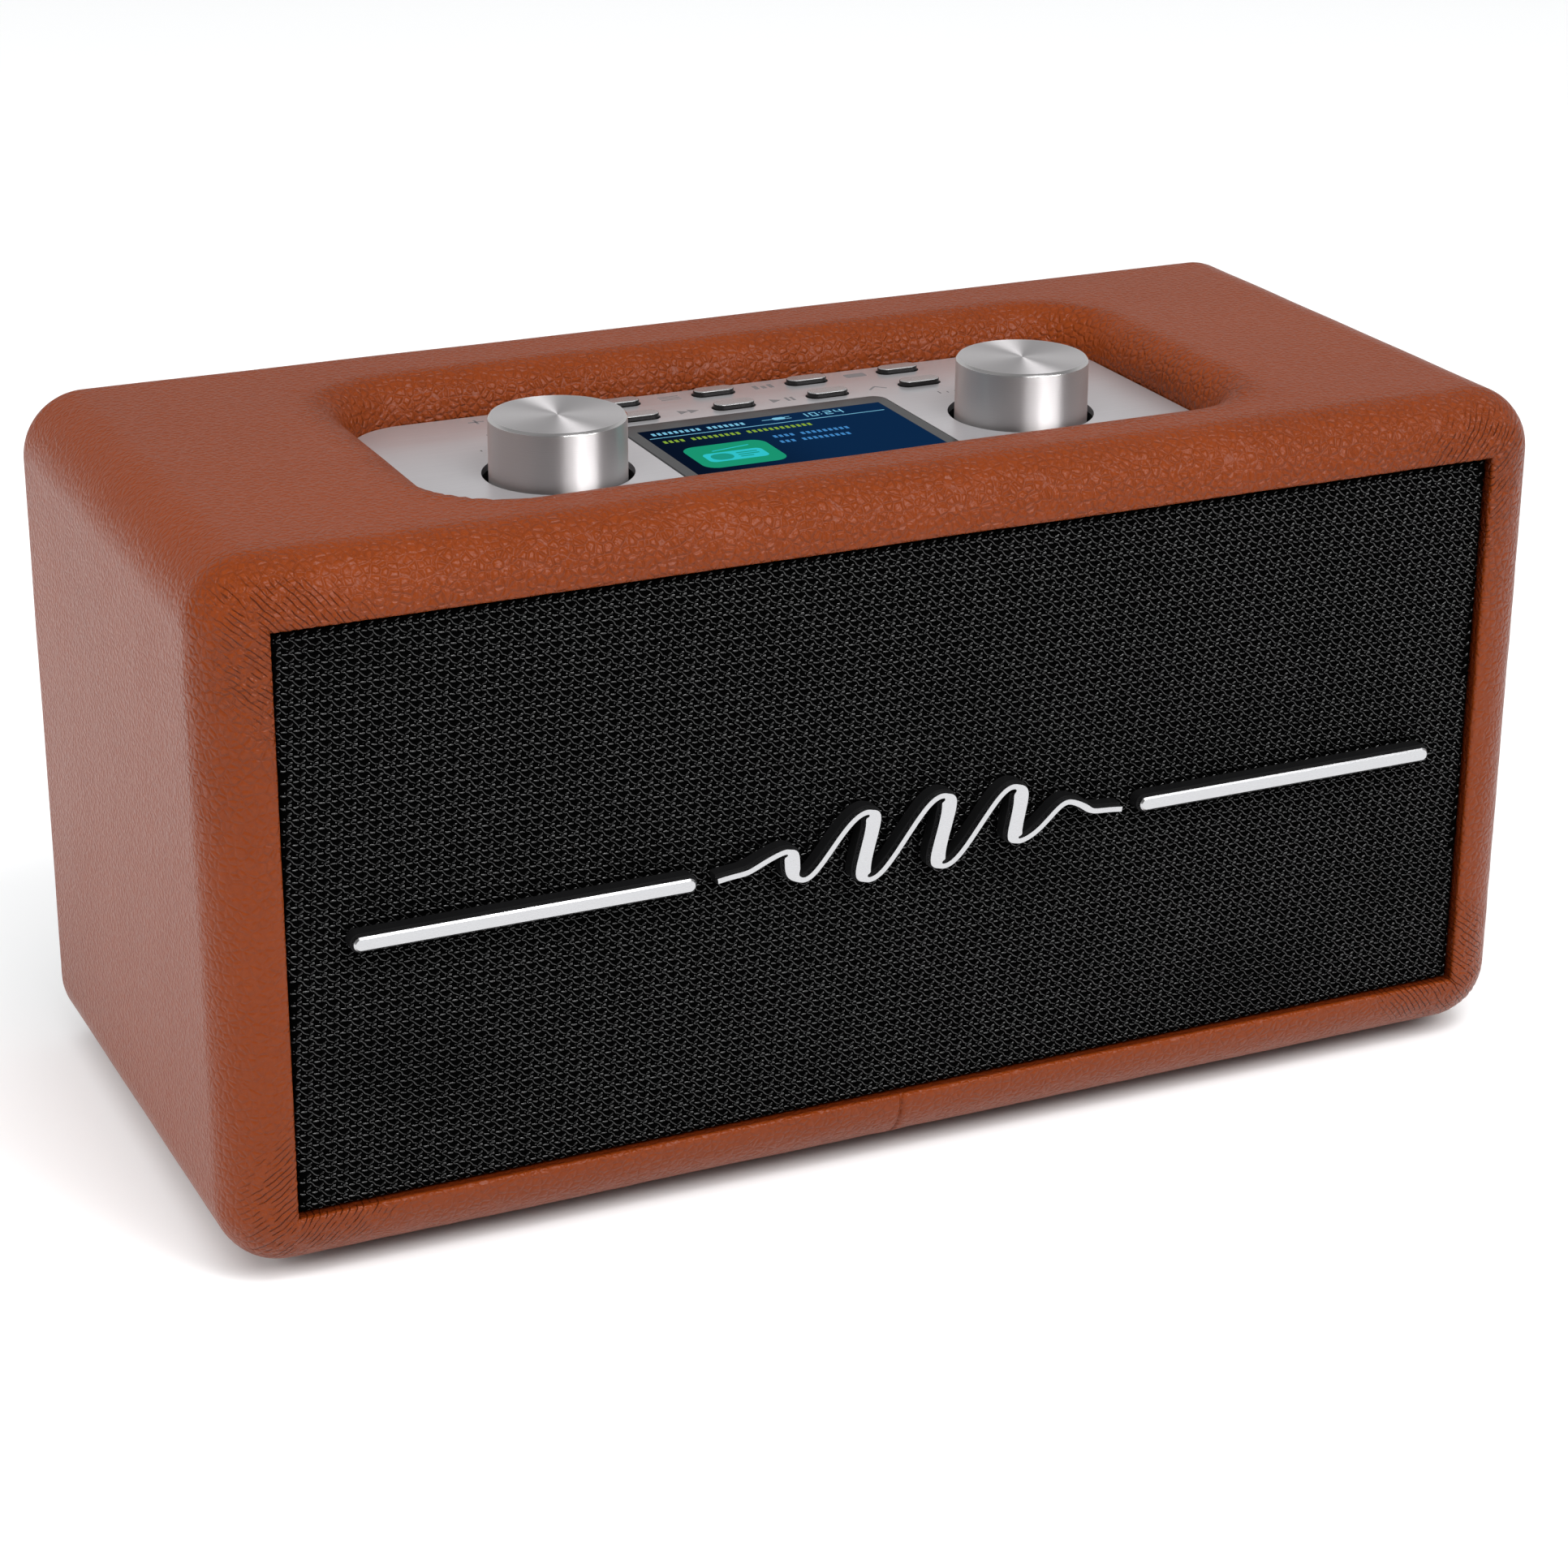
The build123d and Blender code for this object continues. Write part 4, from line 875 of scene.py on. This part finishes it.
def lathe(name, middle, profile, materials, picks, body, slot):
    """A turned piece round an upright line through middle. profile is (radius, height) points,
    and picks gives the material of each band between them."""
    points = []
    for radius, z in profile:
        for k in range(LATHE_STEPS):
            angle = 2 * pi * k / LATHE_STEPS
            points.append((middle[0] + radius * cos(angle), middle[1] + radius * sin(angle), z))
    faces = strip_faces(len(profile), LATHE_STEPS, closed=True)
    chosen = [pick for pick in picks for _ in range(LATHE_STEPS)]
    made = piece(name, points, faces, materials, body, slot, picks=chosen)
    tidy(made, 0.002)
    return made


KNOBS = ("volume", "tuning")
for name in KNOBS:
    low, high = span(f"{name}_knob")
    middle = (low + high) / 2
    radius = (high[0] - low[0]) / 2
    base, top = low[2], high[2]
    profile = [
        (AXIS_R, base + HOLLOW_DEPTH), (HOLLOW_R - 0.1, base + HOLLOW_DEPTH),
        (HOLLOW_R, base + HOLLOW_DEPTH - 0.1), (HOLLOW_R, base), (radius - 0.3, base),
        (radius, base + 0.3), (radius, base + 0.5), (radius, top - EDGE_CUT - 0.2),
        (radius, top - EDGE_CUT - 0.05), (radius - 0.06, top - EDGE_CUT + 0.02),
        (radius - EDGE_CUT + 0.06, top - 0.06), (radius - EDGE_CUT, top - 0.02),
        (radius - EDGE_CUT - 0.15, top), (radius - EDGE_CUT - 0.5, top),
        (1.2, top), (0.5, top - 0.06), (AXIS_R, top - 0.1),
    ]
    picks = [0] * 8 + [1] * 4 + [2] * 4
    knob = lathe(f"{name}_knob_turned", middle, profile, [KNOB_SIDE, KNOB_EDGE, KNOB_TOP], picks,
                 f"{name}_knob", "turned_aluminium")
    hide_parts(f"{name}_knob")


# -------- display and panel print
def slabs(name, outlines, low, high, material, slot):
    """Thin plates of the given outlines, as one piece."""
    points, faces = [], []
    for outline in outlines:
        base, count = len(points), len(outline)
        points += [(x, y, low) for x, y in outline] + [(x, y, high) for x, y in outline]
        faces.append(tuple(base + k for k in reversed(range(count))))
        faces.append(tuple(base + count + k for k in range(count)))
        for k in range(count):
            after = (k + 1) % count
            faces.append((base + k, base + after, base + count + after, base + count + k))
    return piece(name, points, faces, [material], "cabinet", slot, smooth=False)


BLOCK_PITCH = 1.3
BLOCK_WIDTH = 0.75


def bar(x0, y0, x1, y1):
    """A rectangle between two opposite corners."""
    return [(x0, y0), (x1, y0), (x1, y1), (x0, y1)]


def rounded(x0, y0, x1, y1, r, steps=6):
    """A rectangle with corners of radius r."""
    corners = ((x1 - r, y1 - r, 0), (x0 + r, y1 - r, 1), (x0 + r, y0 + r, 2), (x1 - r, y0 + r, 3))
    return [
        (cx + r * cos(pi / 2 * (q + k / steps)), cy + r * sin(pi / 2 * (q + k / steps)))
        for cx, cy, q in corners
        for k in range(steps + 1)
    ]


def stroke(x0, y0, x1, y1, width):
    """A straight line of the given width."""
    length = hypot(x1 - x0, y1 - y0)
    sx, sy = -(y1 - y0) / length * width / 2, (x1 - x0) / length * width / 2
    return [(x0 + sx, y0 + sy), (x0 - sx, y0 - sy), (x1 - sx, y1 - sy), (x1 + sx, y1 + sy)]


def word(x0, x1, y, height, gaps=()):
    """A row of equal upright blocks that stands for words, with gaps between them."""
    places = [x0 + k * BLOCK_PITCH for k in range(round((x1 - x0) / BLOCK_PITCH))]
    return [
        bar(x, y, x + BLOCK_WIDTH, y + height)
        for x in places
        if not any(low < x < high for low, high in gaps)
    ]


# seven-segment digits: top, upper right, lower right, bottom, lower left, upper left, middle
SEGMENTS = {"0": "1111110", "1": "0110000", "2": "1101101", "4": "0110011"}


def digit(x, y, value):
    """A plain seven-segment digit, 1.7 wide and 2.6 high."""
    wide, tall, line = 1.7, 2.6, 0.34
    half = tall / 2
    bars = (
        bar(x, y + tall - line, x + wide, y + tall), bar(x + wide - line, y + half, x + wide, y + tall),
        bar(x + wide - line, y, x + wide, y + half), bar(x, y, x + wide, y + line),
        bar(x, y, x + line, y + half), bar(x, y + half, x + line, y + tall),
        bar(x, y + half - line / 2, x + wide, y + half + line / 2),
    )
    return [one for one, on in zip(bars, SEGMENTS[value]) if on == "1"]


def shifted(outlines):
    """Display outlines, measured from the middle of the cabinet's depth, put into the frame."""
    return [[(x, y + MID_Y) for x, y in outline] for outline in outlines]


GLASS_TOP = WINDOW_HIGH[2]
SCREEN_HALF_X, SCREEN_HALF_Y, SCREEN_MID = 28.8, 21.6, -8.2
LAYER = 0.015


def light_display():
    """What the display shows: a heading with a plug sign and a clock, rows of blocks, and a green
    tile with a simple radio on it."""
    top = SCREEN_MID + SCREEN_HALF_Y
    ground = [bar(-SCREEN_HALF_X, SCREEN_MID - SCREEN_HALF_Y, SCREEN_HALF_X, top)]
    slabs("display_ground", shifted(ground), GLASS_TOP, GLASS_TOP + LAYER, lit_screen(), "screen")

    pale = word(-26.6, -4.4, 9.5, 1.7, gaps=((-16.0, -14.7),))
    pale += [bar(-28.2, 7.5, 27.4, 7.8)]
    pale += [rounded(1.9, 9.9, 4.9, 11.6, 0.7), stroke(-0.6, 10.7, 1.9, 10.7, 0.3)]
    pale += [bar(4.9, 10.0, 6.2, 10.25), bar(4.9, 11.2, 6.2, 11.45)]
    for x, value in ((8.4, "1"), (10.9, "0"), (14.4, "2"), (16.9, "4")):
        pale += digit(x, 9.4, value)
    pale += [bar(13.25, 10.0, 13.6, 10.35), bar(13.25, 11.2, 13.6, 11.55)]
    blue = word(-3.2, 15.0, -1.9, 1.6, gaps=((1.8, 3.1),)) + word(-3.4, 13.6, -5.9, 1.6, gaps=((0.3, 1.6),))
    lime = word(-26.4, 9.0, 3.5, 1.7, gaps=((-21.3, -19.9), (-8.3, -7.0)))
    tile = [rounded(-25.4, -16.8, -6.3, -1.2, 3.2)]
    sign = [
        rounded(-22.8, -12.9, -9.2, -6.9, 1.4), stroke(-19.6, -5.6, -10.6, -4.1, 0.45),
    ]
    cut = [
        rounded(-21.6, -12.0, -16.6, -7.8, 2.0, steps=8), bar(-15.4, -8.9, -10.6, -8.3),
        bar(-15.4, -10.2, -10.6, -9.6), bar(-15.4, -11.5, -12.4, -10.9),
    ]
    layers = (
        ("display_heading", pale, glow("pale glow", (0.23, 0.62, 0.86), 0.85), 1),
        ("display_lines", blue, glow("blue glow", (0.06, 0.27, 0.62), 0.9), 1),
        ("display_station", lime, glow("lime glow", (0.30, 0.50, 0.05), 0.8), 1),
        ("display_tile", tile, glow("green glow", (0.008, 0.33, 0.18), 0.9), 1),
        ("display_sign", sign, glow("cyan glow", (0.03, 0.60, 0.66), 0.9), 2),
        ("display_sign_marks", cut, glow("green glow 2", (0.01, 0.34, 0.26), 0.9), 3),
    )
    for name, outlines, material, level in layers:
        low = GLASS_TOP + LAYER * level
        slabs(name, shifted(outlines), low, low + LAYER, material, "screen")


light_display()


def triangle(x, size, way):
    """An arrowhead on the sign's middle line that points right, or left where way is -1."""
    base, tip = x - way * size * 0.45, x + way * size * 0.45
    return [(base, -size / 2), (tip, 0.0), (base, size / 2)][::way]


# a small plain sign for each button, drawn round its own middle
BUTTON_SIGNS = (
    [stroke(-1.2, 0, 1.2, 0, 0.35), stroke(0, -1.0, 0, 1.0, 0.35)],
    [rounded(-1.0, -1.0, 1.0, 1.0, 0.9)],
    [bar(-1.6, 0.6, 1.6, 0.9), bar(-1.6, -0.15, 1.6, 0.15), bar(-1.6, -0.9, 1.6, -0.6)],
    [bar(-1.6, -0.9, -0.9, 0.9), bar(-0.4, -0.9, 0.3, 0.4), bar(0.8, -0.9, 1.5, 0.9)],
    [rounded(-1.7, -0.9, 1.7, 0.9, 0.4, steps=3)],
    [bar(-0.9, -0.9, 0.9, 0.9)],
    [triangle(-0.7, 1.8, -1), triangle(0.9, 1.8, -1)],
    [triangle(-0.9, 1.8, 1), triangle(0.7, 1.8, 1)],
    [triangle(-1.3, 1.8, 1), bar(0.3, -0.9, 0.75, 0.9), bar(1.15, -0.9, 1.6, 0.9)],
    [stroke(-1.4, -0.6, 0, 0.8, 0.35), stroke(0, 0.8, 1.4, -0.6, 0.35)],
)
SIGN_SCALE = 1.5
SIGN_OFFSET = np.array([-10.4, 0.4])  # from a button's middle to its sign's
TICK_PITCH = 1.9
TICK_OFFSET = 19.6  # from a knob's middle back to its scale


def print_panel():
    """Small signs beside the buttons and a scale behind each knob."""
    outlines = []
    for number, sign in enumerate(BUTTON_SIGNS, 1):
        low, high = span(f"button_{number}")
        place = (low + high)[:2] / 2 + SIGN_OFFSET
        outlines += [(place + SIGN_SCALE * np.array(outline)).tolist() for outline in sign]
    for name, climb in zip(KNOBS, (0.16, 0.0)):
        low, high = span(f"{name}_knob")
        middle = (low + high) / 2
        for k in range(-5, 6):
            x, y = middle[0] + TICK_PITCH * k, middle[1] + TICK_OFFSET
            tall = 0.9 + climb * (k + 5) + (0.8 if climb == 0 and k % 5 == 0 else 0)
            outlines.append(bar(x - 0.16, y, x + 0.16, y + tall))
    plate_top = PLATE_HIGH[2]
    slabs("panel_print", outlines, plate_top, plate_top + LAYER, INK, "black_plastic")


print_panel()

# -------- CAD pieces that keep their shape
SIDES = ("left", "right")
FINISHES = {
    WOOD: ["cabinet_shell", "front_baffle"],
    RUBBER: ["rubber_feet", *(f"{side}_surround" for side in SIDES)],
    BLACK: ["grille_frame", "panel_tray", "back_panel", "bass_port", "tact_switches"],
    EMBLEM_BLACK: ["emblem_base", "bar_bases"],
    GLOSS: ["power_inlet", "aux_jack", "switch_housing", "power_rocker"],
    BRIGHT: ["emblem_face", "bar_faces"],
    PLATE: ["control_plate"],
    GLASS: ["display_window", "lcd_module"],
    BOARD: ["control_board", "main_board"],
    STEEL: ["encoder_nuts", "screws", *(f"{side}_{part}" for side in SIDES for part in ("basket", "magnet")),
            *(f"{name}_{part}" for name in KNOBS for part in ("encoder", "plunger", "shaft"))],
    CHROME: ["antenna_knuckle", "antenna_outer", "antenna_middle", "antenna_tip"],
    PAPER: [f"{side}_{part}" for side in SIDES for part in ("diaphragm", "spider")],
    COPPER: [f"{side}_voice_coil" for side in SIDES],
    WRAP: ["battery_pack"],
    BUTTON: [f"button_{n}" for n in range(1, 11)],
}
for material, names in FINISHES.items():
    for name in names:
        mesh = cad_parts[name].data
        mesh.materials.clear()
        mesh.materials.append(material)


# ======== studio
def floor():
    """A wide, pale floor that the object stands on."""
    mesh = bpy.data.meshes.new("floor")
    mesh.from_pydata([(-6, -6, 0), (6, -6, 0), (6, 6, 0), (-6, 6, 0)], [], [(0, 1, 2, 3)])
    shade = Shade("studio floor", specular=0.1)
    shade.give("base_color", shade.blend(shade.noise(400.0), (0.87, 0.875, 0.88), (0.885, 0.89, 0.895)))
    shade.give("roughness", 0.85)
    mesh.materials.append(shade.material)
    made = bpy.data.objects.new("floor", mesh)
    bpy.context.scene.collection.objects.link(made)


def softbox(name, place, aim, width, height, power, mirrored=True):
    """A rectangular studio light at place, in metres, that faces aim. One that isn't mirrored
    only brightens what it reaches, and shows in no highlight."""
    data = bpy.data.lights.new(name, "AREA")
    data.shape = "RECTANGLE"
    data.size, data.size_y, data.energy = width, height, power
    made = bpy.data.objects.new(name, data)
    made.location = place
    made.rotation_mode = "QUATERNION"
    made.rotation_quaternion = (Vector(aim) - Vector(place)).to_track_quat("-Z", "Y")
    made.visible_glossy = mirrored
    bpy.context.scene.collection.objects.link(made)


def studio_walls():
    """Pale surroundings: brightest low down and behind, darker higher up and in front."""
    world = bpy.data.worlds.new("studio")
    bpy.context.scene.world = world
    world.use_nodes = True
    tree = world.node_tree
    back = tree.nodes["Background"]
    where = tree.nodes.new("ShaderNodeTexCoord")
    split = tree.nodes.new("ShaderNodeSeparateXYZ")
    tree.links.new(where.outputs["Generated"], split.inputs[0])
    ramp = tree.nodes.new("ShaderNodeValToRGB")
    tree.links.new(split.outputs["Z"], ramp.inputs[0])
    for k, (height, bright) in enumerate(((0.0, 0.52), (0.45, 0.5), (0.68, 0.28), (1.0, 0.28))):
        stop = ramp.color_ramp.elements[k] if k < 2 else ramp.color_ramp.elements.new(height)
        stop.position = height
        stop.color = (bright, bright, bright, 1.0)
    tree.links.new(ramp.outputs[0], back.inputs["Color"])
    front = tree.nodes.new("ShaderNodeMapRange")
    tree.links.new(split.outputs["Y"], front.inputs["Value"])
    for key, value in (("From Min", -0.9), ("From Max", 0.1), ("To Min", 0.35), ("To Max", 1.0)):
        front.inputs[key].default_value = value
    tree.links.new(front.outputs[0], back.inputs["Strength"])


def sky_panel(aim_from, spread, strength):
    """A very large, far light that gives even light all over the floor and no highlights."""
    data = bpy.data.lights.new("sky panel", "SUN")
    data.angle = radians(spread)
    data.energy = strength
    made = bpy.data.objects.new("sky panel", data)
    made.rotation_mode = "QUATERNION"
    made.rotation_quaternion = (-Vector(aim_from)).to_track_quat("-Z", "Y")
    made.visible_glossy = False
    bpy.context.scene.collection.objects.link(made)


floor()
studio_walls()
sky_panel((-0.12, -0.36, 0.92), 62, 2.3)
softbox("front right", (0.6, -1.08, 1.1), (0, 0, 0.1), 0.9, 0.7, 13.0)
softbox("over the front", (0.1, -0.62, 1.05), (0, FRONT * MM, TOP * MM), 0.5, 0.22, 4.0)
softbox("front left", (-1.23, -0.86, 0.7), (0, 0, 0.1), 0.5, 0.6, 4.0, mirrored=False)
softbox("left", (-1.4, 0.1, 0.6), (0, 0, 0.08), 0.9, 0.8, 8.5, mirrored=False)

# -------- camera
CAMERA_PLACE = (-0.3248, -0.7002, 0.3751)
CAMERA_TURN = 24.99  # to the right of straight in
CAMERA_DOWN = 22.17
CAMERA_ROLL = 0.35
LENS = 85.74


def set_camera():
    """The camera, aimed by its turn, its tilt down and its small roll."""
    turn, down, roll = radians(CAMERA_TURN), radians(CAMERA_DOWN), radians(CAMERA_ROLL)
    ahead = Vector((sin(turn) * cos(down), cos(turn) * cos(down), -sin(down)))
    right = ahead.cross(Vector((0, 0, 1))).normalized()
    up = right.cross(ahead)
    level = Matrix((right, up, -ahead)).transposed()
    data = bpy.data.cameras.new("camera")
    data.lens = LENS
    data.sensor_width = 36.0
    data.clip_start = 0.01
    made = bpy.data.objects.new("camera", data)
    made.matrix_world = Matrix.Translation(CAMERA_PLACE) @ (level @ Matrix.Rotation(roll, 3, "Z")).to_4x4()
    bpy.context.scene.collection.objects.link(made)
    bpy.context.scene.camera = made


set_camera()
bpy.context.scene.view_settings.view_transform = "Standard"
